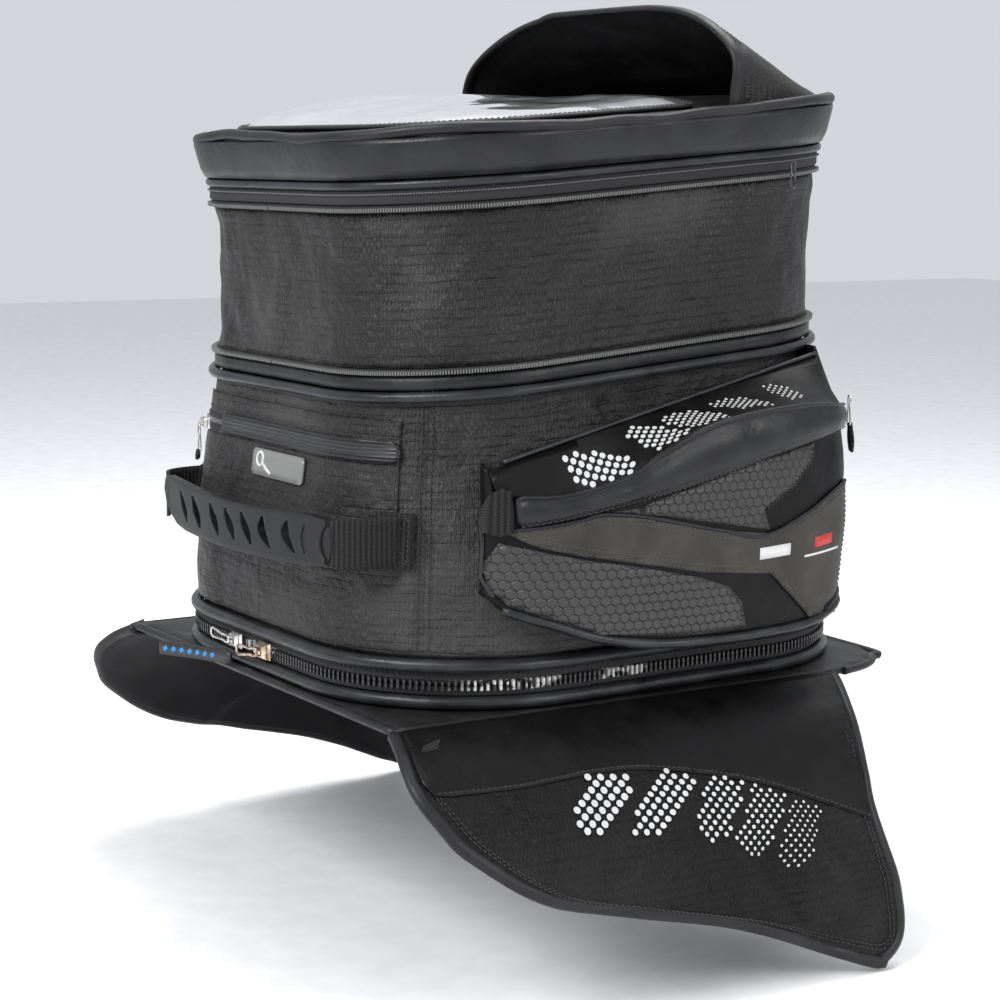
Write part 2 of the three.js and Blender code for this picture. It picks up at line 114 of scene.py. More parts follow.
def make_studio():
    world = bpy.data.worlds.new("studio")
    world.use_nodes = True
    background = world.node_tree.nodes["Background"]
    background.inputs["Color"].default_value = (0.93, 0.95, 1.0, 1)
    background.inputs["Strength"].default_value = 0.7
    bpy.context.scene.world = world
    bpy.context.scene.view_settings.view_transform = "Standard"
    area_light("key", (0.5, -1.9, 1.7), (0, 0, 0.15), (1.3, 1.0), 62)
    area_light("side", (2.3, 0.9, 1.1), (0, 0, 0.15), (1.2, 1.2), 26)
    area_light("top", (-0.4, 0.5, 2.0), (0, 0, 0.3), (1.4, 1.4), 40)
    mesh = bpy.data.meshes.new("floor")
    low = cad_box[0][2] - 0.007
    mesh.from_pydata([(-6, -6, low), (6, -6, low), (6, 6, low), (-6, 6, low)], [], [(0, 1, 2, 3)])
    floor = bpy.data.objects.new("floor", mesh)
    mesh.materials.append(plain("floor", (0.86, 0.86, 0.87), 0.8))
    bpy.context.scene.collection.objects.link(floor)


# ---------- materials ----------
class Shader:
    """A small helper for node materials: each method adds a node and returns its output."""

    def __init__(self, name, roughness=0.6, **sockets):
        self.material = bpy.data.materials.new(name)
        self.material.use_nodes = True
        self.tree = self.material.node_tree
        self.surface = self.tree.nodes["Principled BSDF"]
        self.surface.inputs["Roughness"].default_value = roughness
        for socket, value in sockets.items():
            self.surface.inputs[socket.replace("_", " ")].default_value = value

    def add(self, kind, out=0, settings=None, **inputs):
        node = self.tree.nodes.new(kind)
        for key, value in (settings or {}).items():
            setattr(node, key, value)
        for key, value in inputs.items():
            socket = node.inputs[int(key[1:])] if key[0] == "i" and key[1:].isdigit() else node.inputs[key]
            self.feed(value, socket)
        return node.outputs[out]

    def feed(self, value, socket):
        if isinstance(value, bpy.types.NodeSocket):
            self.tree.links.new(value, socket)
        else:
            socket.default_value = value

    def math(self, operation, a, b=0.0, c=0.0):
        return self.add("ShaderNodeMath", settings={"operation": operation}, i0=a, i1=b, i2=c)

    def times(self, a, b):
        return self.math("MULTIPLY", a, b)

    def plus(self, a, b):
        return self.math("ADD", a, b)

    def minus(self, a, b):
        return self.math("SUBTRACT", a, b)

    def cloth(self):
        return self.add("ShaderNodeAttribute", out=1, settings={"attribute_name": "cloth"})

    def place(self):
        return self.add("ShaderNodeTexCoord", out=3)

    def split(self, vector):
        node = self.tree.nodes.new("ShaderNodeSeparateXYZ")
        self.feed(vector, node.inputs[0])
        return node.outputs[0], node.outputs[1]

    def join(self, x, y, z=0.0):
        return self.add("ShaderNodeCombineXYZ", i0=x, i1=y, i2=z)

    def noise(self, vector, scale, detail=3.0):
        return self.add("ShaderNodeTexNoise", Vector=vector, Scale=scale, Detail=detail)

    def wave(self, value, pitch):
        return self.math("SINE", self.times(value, 2 * math.pi / pitch))

    def span(self, value, low, high, start=0.0, end=1.0):
        node = self.tree.nodes.new("ShaderNodeMapRange")
        for socket, part in zip(node.inputs, (value, low, high, start, end)):
            self.feed(part, socket)
        return node.outputs[0]

    def mix(self, share, a, b):
        node = self.tree.nodes.new("ShaderNodeMix")
        node.data_type = "RGBA"
        self.feed(share, node.inputs[0])
        self.feed(a if isinstance(a, bpy.types.NodeSocket) else (*a, 1), node.inputs[6])
        self.feed(b if isinstance(b, bpy.types.NodeSocket) else (*b, 1), node.inputs[7])
        return node.outputs[2]

    def bump(self, height, distance, strength=1.0, normal=None):
        node = self.tree.nodes.new("ShaderNodeBump")
        node.inputs["Strength"].default_value = strength
        node.inputs["Distance"].default_value = distance * MM
        self.feed(height, node.inputs["Height"])
        if normal is not None:
            self.feed(normal, node.inputs["Normal"])
        return node.outputs[0]

    def done(self, colour=None, normal=None, roughness=None):
        if colour is not None:
            value = colour if isinstance(colour, bpy.types.NodeSocket) else (*colour, 1)
            self.feed(value, self.surface.inputs["Base Color"])
        if normal is not None:
            self.feed(normal, self.surface.inputs["Normal"])
        if roughness is not None:
            self.feed(roughness, self.surface.inputs["Roughness"])
        return self.material


def tone(colour, by):
    """A colour made lighter or darker."""
    return [c * by for c in colour]


def plain(name, colour, roughness, metallic=0.0):
    shader = Shader(name, roughness, Metallic=metallic)
    spots = shader.noise(shader.place(), 40.0)
    shade = shader.mix(shader.span(spots, 0.35, 0.65), tone(colour, 0.94), colour)
    return shader.done(shade)


def ripstop_material(name, dark, light, gloss=0.3):
    """Woven nylon: fine warp and weft, broken reinforcing threads across, and a mottled tint."""
    shader = Shader(name, 0.5, Specular_IOR_Level=gloss, Sheen_Weight=0.02, Sheen_Roughness=0.4)
    cloth = shader.cloth()
    u, v = shader.split(cloth)
    ripple = shader.times(shader.noise(cloth, 0.05, 2.0), 2.5)
    v = shader.plus(v, ripple)
    row = shader.math("FLOOR", shader.math("DIVIDE", v, RIB_PITCH))
    breaks = shader.noise(shader.join(shader.times(u, 0.05), shader.times(row, 7.7)), 1.0, 1.0)
    share = shader.math("FRACT", shader.math("DIVIDE", v, RIB_PITCH))
    across = shader.math("ABSOLUTE", shader.minus(share, 0.5))
    thread = shader.times(shader.span(across, 0.14, 0.03), shader.span(breaks, 0.38, 0.6))
    warp = shader.times(shader.span(shader.wave(u, 2.6), 0.55, 1.0), shader.span(across, 0.45, 0.2))
    streak = shader.noise(shader.join(shader.times(u, 1.3), shader.times(v, 0.3)), 1.0, 3.0)
    speck = shader.noise(shader.join(shader.times(u, 0.8), shader.times(v, 1.6)), 1.0, 1.0)
    mottle = shader.noise(shader.place(), 16.0, 5.0)
    tint = shader.noise(shader.place(), 5.0, 1.0)
    base = shader.mix(shader.span(mottle, 0.36, 0.64), dark, light)
    base = shader.mix(shader.span(streak, 0.47, 0.68, 0.0, 0.8), base, tone(light, 4.6))
    base = shader.mix(shader.span(speck, 0.5, 0.36, 0.0, 0.55), base, tone(dark, 0.35))
    base = shader.mix(shader.times(warp, 0.3), base, tone(dark, 0.4))
    base = shader.mix(shader.times(thread, 0.88), base, tone(dark, 0.15))
    faded = [part * by for part, by in zip(light, (0.9, 0.82, 0.95))]
    base = shader.mix(shader.span(tint, 0.45, 0.7, 0.0, 0.35), base, faded)
    worn = shader.noise(shader.place(), 9.0, 4.0)
    base = shader.mix(shader.span(worn, 0.55, 0.38, 0.0, 0.6), base, tone(dark, 0.3))
    base = shader.mix(shader.span(worn, 0.53, 0.66, 0.0, 0.55), base, tone(light, 3.2))
    crumple = shader.noise(shader.place(), 42.0, 5.0)
    crinkle = shader.noise(shader.place(), 150.0, 3.0)
    large = shader.bump(crinkle, 1.6, 0.9, shader.bump(crumple, 6.5, 1.0))
    height = shader.minus(shader.plus(streak, speck), shader.plus(thread, warp))
    return shader.done(base, shader.bump(height, 0.35, 0.8, large), shader.span(mottle, 0.3, 0.7, 0.38, 0.6))


def coated_material(name, colour, roughness=0.36, grain=1.0, gloss=0.28):
    """Coated cloth with a fine leather grain and soft creases, with faint painted highlight streaks on the
    creases' crests.
    """
    shader = Shader(name, roughness, Specular_IOR_Level=gloss, Coat_Weight=0.04, Coat_Roughness=0.3)
    place = shader.place()
    pebbles = shader.add("ShaderNodeTexVoronoi", Vector=place, Scale=900.0)
    soft = shader.noise(place, 30.0)
    creases_and_highlights = shader.noise(place, 60.0, 5.0)
    shade = shader.mix(shader.span(soft, 0.35, 0.68), tone(colour, 0.6), tone(colour, 1.2))
    # Painted highlight: the colour is lighter where the crease bump is high.
    shade = shader.mix(shader.span(creases_and_highlights, 0.5, 0.75, 0.0, 0.4), shade, tone(colour, 2.0))
    rough = shader.span(creases_and_highlights, 0.3, 0.7, roughness - 0.05, roughness + 0.12)
    fine = shader.bump(pebbles, 0.14 * grain, 0.5)
    return shader.done(shade, shader.bump(creases_and_highlights, 1.8, 0.6, fine), rough)


def hex_material():
    """Coated cloth embossed with a honeycomb."""
    shader = Shader("embossed_cloth", 0.45, Specular_IOR_Level=0.45)
    cell = 5.9
    u, v = shader.split(shader.cloth())
    u = shader.math("DIVIDE", u, cell)
    v = shader.math("DIVIDE", v, cell)

    def hexagon(du, dv):
        x = shader.minus(shader.math("FLOORED_MODULO", shader.plus(u, du), 1.0), 0.5)
        y = shader.math("FLOORED_MODULO", shader.plus(v, dv), 1.732)
        y = shader.minus(y, 0.866)
        x, y = shader.math("ABSOLUTE", x), shader.math("ABSOLUTE", y)
        slant = shader.plus(shader.times(x, 0.5), shader.times(y, 0.866))
        return shader.math("MAXIMUM", slant, x)

    edge = shader.math("MINIMUM", hexagon(0.0, 0.0), hexagon(0.5, 0.866))
    groove = shader.span(edge, 0.41, 0.5)
    grain = shader.noise(shader.place(), 700.0)
    weave = shader.noise(shader.cloth(), 1.4, 2.0)
    fade = shader.span(shader.noise(shader.place(), 13.0), 0.35, 0.65)
    shade = shader.mix(weave, (0.01, 0.01, 0.01), (0.04, 0.0395, 0.0375))
    shade = shader.mix(shader.times(fade, 0.35), shade, (0.052, 0.051, 0.047))
    # Painted shade: the honeycomb's sunk grooves are coloured near black.
    shade = shader.mix(shader.times(groove, 0.75), shade, (0.004, 0.004, 0.004))
    height = shader.plus(shader.times(groove, -1.0), shader.times(grain, 0.5))
    return shader.done(shade, shader.bump(height, 0.55, 0.9))


def webbing_material(name="webbing"):
    shader = Shader(name, 0.7, Specular_IOR_Level=0.25, Sheen_Weight=0.04, Sheen_Roughness=0.5)
    u, v = shader.split(shader.cloth())
    ribs = shader.wave(u, 3.0)
    threads = shader.wave(shader.plus(shader.times(u, 0.4), v), 1.5)
    height = shader.plus(ribs, shader.times(threads, 0.5))
    shade = shader.mix(shader.span(ribs, -0.8, 0.9), (0.002, 0.002, 0.002), (0.019, 0.019, 0.0185))
    shade = shader.mix(shader.span(threads, 0.0, -1.0, 0.0, 0.6), shade, (0.006, 0.006, 0.006))
    return shader.done(shade, shader.bump(height, 0.6, 0.9))


def tape_material():
    shader = Shader("zip_tape", 0.75)
    u, v = shader.split(shader.cloth())
    twill = shader.wave(shader.plus(u, v), 1.4)
    shade = shader.mix(shader.span(twill, -1.0, 1.0), (0.006, 0.006, 0.007), (0.02, 0.02, 0.021))
    return shader.done(shade, shader.bump(twill, 0.2, 0.7))


def rubber_material():
    shader = Shader("grip_rubber", 0.5, Specular_IOR_Level=0.3)
    place = shader.place()
    dust = shader.noise(place, 28.0, 4.0)
    pits = shader.noise(place, 900.0)
    shade = shader.mix(shader.span(dust, 0.35, 0.7), (0.003, 0.0031, 0.0034), (0.012, 0.0123, 0.013))
    return shader.done(shade, shader.bump(pits, 0.15, 0.4), shader.span(dust, 0.3, 0.7, 0.4, 0.56))


def metal_material(name, bright, worn, roughness):
    """Plated zinc, rubbed bright where the noise is high."""
    shader = Shader(name, roughness, Metallic=1.0)
    wear = shader.noise(shader.place(), 260.0, 4.0)
    shade = shader.mix(shader.span(wear, 0.4, 0.6), worn, bright)
    rough = shader.span(wear, 0.3, 0.7, roughness + 0.12, roughness)
    return shader.done(shade, shader.bump(wear, 0.1, 0.3), rough)


def film_material():
    """Clear soft vinyl, a little milky, with slow ripples."""
    shader = Shader("clear_vinyl", 0.08, Transmission_Weight=0.7, Coat_Weight=1.0,
                    Coat_Roughness=0.04, IOR=1.5)
    slow = shader.noise(shader.place(), 11.0, 3.0)
    shade = shader.mix(shader.span(slow, 0.3, 0.7), (0.82, 0.83, 0.86), (0.94, 0.95, 0.97))
    return shader.done(shade, shader.bump(slow, 9.0, 0.6))


def ribbed_material(name, colour, pitch):
    """Coated zip cover with fine ridges along it."""
    shader = Shader(name, 0.38, Specular_IOR_Level=0.42)
    _, v = shader.split(shader.cloth())
    ridges = shader.wave(v, pitch)
    soft = shader.noise(shader.place(), 40.0)
    # Painted shade: the colour is darker in the valleys between the ridges.
    shade = shader.mix(shader.span(ridges, -1.0, 0.6), tone(colour, 0.35), colour)
    shade = shader.mix(shader.span(soft, 0.4, 0.7, 0.0, 0.4), shade, tone(colour, 1.7))
    return shader.done(shade, shader.bump(ridges, 0.35, 0.7))


def zip_tooth_material():
    """Moulded black plastic teeth, some of them coloured pale as painted glints of reflected light."""
    shader = Shader("zip_teeth", 0.3, Specular_IOR_Level=0.5)
    worn = shader.noise(shader.place(), 17.0, 1.0)
    fine = shader.noise(shader.place(), 180.0, 1.0)
    # Painted highlight: where both noises are high a tooth is coloured pale to stand for a glint of light on
    # the black teeth.
    share = shader.times(shader.span(worn, 0.6, 0.63), shader.span(fine, 0.45, 0.52))
    return shader.done(shader.mix(share, (0.012, 0.012, 0.013), (0.5, 0.5, 0.48)))


# ---------- mesh helpers ----------
class Side:
    """Pieces made while this is left are mirrored, and SIDE in a name becomes right or left."""

    left = False

    @classmethod
    def name(cls, text):
        return text.replace("SIDE", "left" if cls.left else "right")


def both_sides(make):
    for Side.left in (True, False):
        make()


def piece(name, points, faces, material, body=None, smooth=True, cloth=None):
    """A piece from points in millimetres; cloth is each point's place on the flat cloth."""
    if Side.left:
        points = [(-p[0], p[1], p[2]) for p in points]
        faces = [tuple(reversed(face)) for face in faces]
    name, body = Side.name(name), body and Side.name(body)
    mesh = bpy.data.meshes.new(name)
    mesh.from_pydata([(p[0] * MM, p[1] * MM, p[2] * MM) for p in points], [], faces)
    mesh.validate()
    if cloth is not None:
        layer = mesh.attributes.new("cloth", "FLOAT_VECTOR", "POINT")
        flat = np.zeros((len(points), 3), np.float32)
        flat[:, :2] = np.asarray(cloth, np.float32).reshape(-1, 2)
        layer.data.foreach_set("vector", flat.ravel())
    face_outwards(mesh)
    mesh.materials.append(material)
    mesh.polygons.foreach_set("use_smooth", [smooth] * len(mesh.polygons))
    made = bpy.data.objects.new(name, mesh)
    bpy.context.scene.collection.objects.link(made)
    if body:
        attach(made, body)
    return made


def face_outwards(mesh):
    """Turn the faces of a closed mesh outwards; an open sheet keeps the side it was given."""
    net = bmesh.new()
    net.from_mesh(mesh)
    if all(edge.is_manifold for edge in net.edges):
        bmesh.ops.recalc_face_normals(net, faces=net.faces[:])
        net.to_mesh(mesh)
    net.free()


def clamp(value):
    return min(1.0, max(0.0, value))


def level(p):
    """The direction away from the bag's middle at a point, with no height."""
    return Vector((p.x, p.y, 0)).normalized()


def thicken(made, thick):
    """Give an open sheet of cloth its thickness, inwards."""
    wall = made.modifiers.new("thickness", "SOLIDIFY")
    wall.thickness = thick * MM
    wall.offset = -1


def soften(made, width):
    bevel = made.modifiers.new("bevel", "BEVEL")
    bevel.width = width * MM
    bevel.segments = 2
    return bevel


def grid_faces(rows, columns, wrap_rows=False, wrap_columns=False, first=0, turn=False):
    faces = []
    for i in range(rows if wrap_rows else rows - 1):
        for j in range(columns if wrap_columns else columns - 1):
            a = first + i * columns + j
            b = first + i * columns + (j + 1) % columns
            c = first + ((i + 1) % rows) * columns + (j + 1) % columns
            d = first + ((i + 1) % rows) * columns + j
            faces.append((a, d, c, b) if turn else (a, b, c, d))
    return faces


def rim_edges(rows, columns):
    """The edges round a grid of points, as pairs in order."""
    border = list(range(columns)) + [i * columns + columns - 1 for i in range(1, rows)]
    border += [(rows - 1) * columns + j for j in range(columns - 2, -1, -1)]
    border += [i * columns for i in range(rows - 2, 0, -1)]
    return list(zip(border, border[1:] + border[:1]))


class Batch:
    """Many small closed bodies that make one piece."""

    def __init__(self):
        self.points, self.faces = [], []

    def add(self, points, faces):
        first = len(self.points)
        self.points.extend(points)
        self.faces.extend(tuple(first + k for k in face) for face in faces)

    def bar(self, centre, along, across, out, size):
        """A block with bevelled outer edges: half sizes along, across and out."""
        a, b, c = along * size[0], across * size[1], out * size[2]
        low = [centre + s * a + t * b - c for s, t in ((-1, -1), (1, -1), (1, 1), (-1, 1))]
        high = [centre + 0.72 * s * a + 0.72 * t * b + c for s, t in ((-1, -1), (1, -1), (1, 1), (-1, 1))]
        faces = [(3, 2, 1, 0), (4, 5, 6, 7)] + [(k, (k + 1) % 4, 4 + (k + 1) % 4, 4 + k) for k in range(4)]
        if along.cross(across).dot(out) < 0:
            faces = [face[::-1] for face in faces]
        self.add(low + high, faces)

    def make(self, name, material, body, smooth=False):
        return piece(name, self.points, self.faces, material, body, smooth)


def frames(points, closed, up):
    """Along, side and out directions at each point of a path."""
    count = len(points)
    result = []
    for k, p in enumerate(points):
        after = points[(k + 1) % count] if closed or k + 1 < count else p
        before = points[k - 1] if closed or k > 0 else p
        along = (after - before).normalized()
        out = up[k] if isinstance(up, list) else up
        side = out.cross(along).normalized()
        result.append((along, side, along.cross(side).normalized()))
    return result


def tube(name, points, radius, material, body, closed=False, up=UP, sides=10, flat=1.0):
    """A round or flattened tube along points; flat squeezes it along the out direction."""
    points = [Vector(p) for p in points]
    verts, cloth, run = [], [], 0.0
    for k, (p, (_, side, out)) in enumerate(zip(points, frames(points, closed, up))):
        run += (p - points[k - 1]).length if k else 0.0
        for j in range(sides):
            turn = 2 * math.pi * j / sides
            verts.append(p + side * radius * math.cos(turn) + out * radius * flat * math.sin(turn))
            cloth.append((run, turn * radius))
    faces = grid_faces(len(points), sides, wrap_rows=closed, wrap_columns=True)
    if not closed:
        faces.append(tuple(reversed(range(sides))))
        faces.append(tuple(range(len(verts) - sides, len(verts))))
    return piece(name, verts, faces, material, body, True, cloth)


def smooth_path(points, step=4.0):
    """A Catmull-Rom curve through points, resampled evenly."""
    p = [np.array(q, float) for q in points]
    p = [2 * p[0] - p[1]] + p + [2 * p[-1] - p[-2]]
    fine = []
    for k in range(1, len(p) - 2):
        for t in np.linspace(0, 1, 16, endpoint=False):
            a = 2 * p[k]
            b = (p[k + 1] - p[k - 1]) * t
            c = (2 * p[k - 1] - 5 * p[k] + 4 * p[k + 1] - p[k + 2]) * t * t
            d = (3 * p[k] - p[k - 1] - 3 * p[k + 1] + p[k + 2]) * t ** 3
            fine.append((a + b + c + d) / 2)
    fine.append(p[-2])
    return resample(fine, step)


def curve(points, step=3.0):
    """A smooth line through flat points."""
    return smooth_path([(*p, 0) for p in points], step)[:, :2]


def along(line, place):
    """The second coordinate of a flat line where its first is the place."""
    return float(np.interp(place, line[:, 0], line[:, 1]))


def resample(points, step):
    points = np.array(points, float)
    run = np.concatenate([[0], np.cumsum(np.linalg.norm(np.diff(points, axis=0), axis=1))])
    count = max(2, int(round(run[-1] / step)) + 1)
    at = np.linspace(0, run[-1], count)
    return np.column_stack([np.interp(at, run, points[:, k]) for k in range(points.shape[1])])


def stitches(batch, path, out, pitch=3.4):
    """Small raised stitches along a path of points on a surface; out gives the normal at a point."""
    line = resample(path, pitch)
    for a, b in zip(line[:-1], line[1:]):
        middle = Vector((a + b) / 2)
        along = Vector(b - a).normalized()
        normal = out(middle)
        side = normal.cross(along).normalized()
        batch.bar(middle + normal * 0.15, along, side, normal, STITCH)


# ---------- the bag's outline ----------
def outline(count=300):
    """Columns x, y, normal x, normal y and distance round, from the middle of the rear."""
    corners = [REAR_MIDDLE]
    for x, y, r, start in CORNERS:
        for k in range(25):
            turn = math.radians(start + 90 * k / 24)
            c, s = math.cos(turn), math.sin(turn)
            corners.append((x + r * c, y + r * s, c, s))
    corners.append(REAR_MIDDLE)
    corners = np.array(corners)
    run = np.concatenate([[0], np.cumsum(np.linalg.norm(np.diff(corners[:, :2], axis=0), axis=1))])
    at = np.arange(count) * run[-1] / count
    return np.column_stack([np.interp(at, run, corners[:, k]) for k in range(4)] + [at])


FINE = outline(400)
ROUND = FINE[-1, 4] + FINE[1, 4]
WALL_SEAMS = (146, ROUND - 146, ROUND / 2 + 150, ROUND / 2 - 150)


def on_plan(distance):
    """The outline's x, y and outward normal at a distance round the bag."""
    return [np.interp(distance % ROUND, FINE[:, 4], FINE[:, k], period=ROUND) for k in range(4)]


def on_wall(distance, offset, z, share=1.0):
    """A point a distance round the bag and an offset from its outline, and the outward normal."""
    x, y, nx, ny = on_plan(distance)
    y = y + ny * offset
    return Vector((x + nx * offset, y, z + share * PITCH * y)), Vector((nx, ny, 0)).normalized()


def wall_offset(z):
    return float(np.interp(z, WALL_Z, WALL_OFFSET))


def on_shell(distance, z, lift=0.0):
    """A point on the lower wall, at its true height z."""
    x, y, nx, ny = on_plan(distance)
    nominal = z - float(np.interp(z, WALL_Z, WALL_SHARE)) * PITCH * y
    offset = wall_offset(nominal) + lift
    return Vector((x + nx * offset, y + ny * offset, z)), Vector((nx, ny, 0.06)).normalized()


def ring_rows(profile, count):
    """Points, outward directions and cloth places of a surface through profile rows."""
    plan = outline(count)
    profile = np.array(profile, float)
    drop = np.concatenate([[0], np.cumsum(np.linalg.norm(np.diff(profile[:, :2], axis=0), axis=1))])
    points = np.zeros((len(profile), count, 3))
    cloth = np.zeros((len(profile), count, 2))
    for k, (offset, z, share) in enumerate(profile):
        points[k, :, 0] = plan[:, 0] + plan[:, 2] * offset
        points[k, :, 1] = plan[:, 1] + plan[:, 3] * offset
        points[k, :, 2] = z + share * PITCH * points[k, :, 1]
        cloth[k, :, 0] = plan[:, 4]
        cloth[k, :, 1] = drop[k]
    return points, plan, cloth


def ring(name, profile, material, body, closed=True, count=300, push=None, step=None):
    """A ring whose section is a closed profile, or an open surface when closed is false."""
    if step:
        profile = resample(profile, step)
    points, plan, cloth = ring_rows(profile, count)
    if push is not None:
        for i in range(points.shape[0]):
            for j in range(count):
                out = push(points[i, j], plan[j, 4], profile[i][1])
                points[i, j, 0] += plan[j, 2] * out
                points[i, j, 1] += plan[j, 3] * out
    faces = grid_faces(len(profile), count, wrap_rows=closed, wrap_columns=True)
    return piece(name, points.reshape(-1, 3), faces, material, body, True, cloth)


def band_profile(low, high, inner, outer, share, soft=0.8):
    """A closed section with softened corners."""
    return [(inner, low, share), (outer - soft, low, share), (outer, low + soft, share),
            (outer, high - soft, share), (outer - soft, high, share), (inner, high, share)]


def ring_tube(name, offset, z, radius, share, material, body, flat=1.0, wave=None):
    path, ups = [], []
    for k in range(240):
        point, out = on_wall(k * ROUND / 240, offset, z, share)
        if wave:
            point.z += wave(point)
        path.append(point)
        ups.append(out)
    return tube(name, path, radius, material, body, closed=True, up=ups, flat=flat)


def swirl(x, y, z):
    """Smooth noise at a place, between about -1 and 1."""
    return noise.noise(Vector((x, y, z)))


def bumps(point, size, seed, stretch=1.0):
    x, y, z = point
    return swirl(x / size + seed, y / size, z / (size * stretch))


def dip(value, centre, width):
    return math.exp(-(((value - centre) / width) ** 2))


# ---------- zips ----------
def teeth(name, offset, z, share, pitch, size, material, body):
    """A row of teeth round the bag."""
    batch = Batch()
    for k in range(int(ROUND / pitch)):
        point, out = on_wall(k * pitch, offset, z, share)
        batch.bar(point, Vector((-out.y, out.x, 0)), UP, out, size)
    return batch.make(name, material, body)


def slider(name, body, centre, facing, scale, material):
    """A zip slider with a rounded body, a bridge and a throat, seen from outside."""
    out = Vector(facing).normalized()
    up = UP
    along = up.cross(out).normalized()
    blocks = (
        (-1.2, 0, (6.2, 4.3, 0.9)), (0.6, 0, (5.4, 3.7, 0.9)), (1.8, 2.6, (0.8, 1.3, 0.8)),
        (1.8, -2.6, (0.8, 1.3, 0.8)), (2.5, 0, (3.4, 1.0, 0.4)),
    )
    batch = Batch()
    for forward, aside, size in blocks:
        place = Vector(centre) + out * forward * scale + along * aside * scale
        batch.bar(place, along, up, out, [part * scale for part in size])
    made = batch.make(name, material, body)
    soften(made, 0.35)
    return made


def loop_pull(name, body, eye, direction, out, scale, material):
    """A flat metal pull: a long ring whose hole narrows to an eye at the slider."""
    along = Vector(direction).normalized()
    out = Vector(out).normalized()
    side = out.cross(along).normalized()
    eye = Vector(eye)
    shape = ((-1.5, 1.6), (2, 2.0), (6, 1.5), (12, 2.0), (19, 2.6), (21, 1.6))
    path = [eye + along * a * scale + side * b * scale for a, b in shape]
    path += [eye + along * a * scale - side * b * scale for a, b in reversed(shape)]
    fine = [Vector(p) for p in resample([tuple(p) for p in path] + [tuple(path[0])], 1.0 * scale)[:-1]]
    return tube(name, fine, 0.75 * scale, material, body, closed=True, up=out, sides=8)


# ---------- flat patterns laid on a surface ----------
def patch(name, shape, on, lift, thick, material, body, step=5.0):
    """A panel of cloth cut to a flat shape and laid on a surface: on(a, b, lift) gives its points."""
    net = bmesh.new()
    net.faces.new([net.verts.new((a, b, 0)) for a, b in shape])
    lows = [min(p[k] for p in shape) for k in (0, 1)]
    highs = [max(p[k] for p in shape) for k in (0, 1)]
    for k, normal in ((0, (1, 0, 0)), (1, (0, 1, 0))):
        for n in range(1, int((highs[k] - lows[k]) / step) + 1):
            at = [0, 0, 0]
            at[k] = lows[k] + n * step
            if at[k] < highs[k] - 0.3 * step:
                every = net.verts[:] + net.edges[:] + net.faces[:]
                bmesh.ops.bisect_plane(net, geom=every, plane_co=at, plane_no=normal)
    bmesh.ops.triangulate(net, faces=[f for f in net.faces if len(f.verts) > 4])
    net.normal_update()
    if sum(f.normal.z for f in net.faces) < 0:
        bmesh.ops.reverse_faces(net, faces=net.faces[:])
    net.verts.index_update()
    flat = [(v.co.x, v.co.y) for v in net.verts]
    count = len(flat)
    faces = [tuple(v.index for v in f.verts) for f in net.faces]
    solid = faces + [tuple(count + k for k in reversed(f)) for f in faces]
    for edge in net.edges:
        if edge.is_boundary:
            loop = edge.link_loops[0]
            a, b = loop.vert.index, loop.link_loop_next.vert.index
            solid.append((b, a, count + a, count + b))
    net.free()
    points = [on(a, b, lift) for a, b in flat] + [on(a, b, lift - thick) for a, b in flat]
    return piece(name, points, solid, material, body, True, flat + flat)


def inside(shape, a, b):
    hit = False
    for (a0, b0), (a1, b1) in zip(shape, shape[1:] + shape[:1]):
        if (b0 > b) != (b1 > b) and a < (a1 - a0) * (b - b0) / (b1 - b0) + a0:
            hit = not hit
    return hit


def surface_normal(on, a, b):
    """The outward normal of a surface, towards which its lift grows."""
    across = Vector(on(a + 1, b, 0)) - Vector(on(a - 1, b, 0))
    up = Vector(on(a, b + 1, 0)) - Vector(on(a, b - 1, 0))
    normal = across.cross(up).normalized()
    outward = Vector(on(a, b, 1)) - Vector(on(a, b, 0))
    return normal if normal.dot(outward) > 0 else -normal


def slot_outline(left, right, slide):
    """A leaning slot: straight where it starts, between two points, and round where the slide ends."""
    left, right, slide = Vector(left), Vector(right), Vector(slide)
    middle, half = (left + right) / 2 + slide * 0.75, (right - left) / 2
    turns = np.linspace(0, math.pi, 9)
    foot = [middle + half * math.cos(turn) + slide * 0.25 * math.sin(turn) for turn in turns]
    return [tuple(p) for p in [left, right] + foot]


def dots(name, slots, steps, on, material, body):
    """Printed reflective dots in slots: (left, right, slide, scale of the lattice, radius of a dot)."""
    batch = Batch()
    for left, right, slide, scale, radius in slots:
        shape = slot_outline(left, right, slide)
        (a1, b1), (a2, b2) = [(a * scale, b * scale) for a, b in steps]
        a0, b0 = np.mean(np.array(shape), axis=0)
        for i in range(-30, 31):
            for j in range(-30, 31):
                a, b = a0 + i * a1 + j * a2, b0 + i * b1 + j * b2
                if inside(shape, a, b):
                    add_dot(batch, on, a, b, radius)
    return batch.make(name, material, body)


def add_dot(batch, on, a, b, radius):
    """A thin disc on a surface."""
    turns = [2 * math.pi * (k + 0.5) / DOT_SIDES for k in range(DOT_SIDES)]
    rim = []
    for lift in (0.7, 1.0):
        for turn in turns:
            rim.append(Vector(on(a + radius * math.cos(turn), b + radius * math.sin(turn), lift)))
    faces = [tuple(reversed(range(DOT_SIDES))), tuple(range(DOT_SIDES, 2 * DOT_SIDES))]
    for k in range(DOT_SIDES):
        after = (k + 1) % DOT_SIDES
        faces.append((k, after, DOT_SIDES + after, DOT_SIDES + k))
    batch.add(rim, faces)


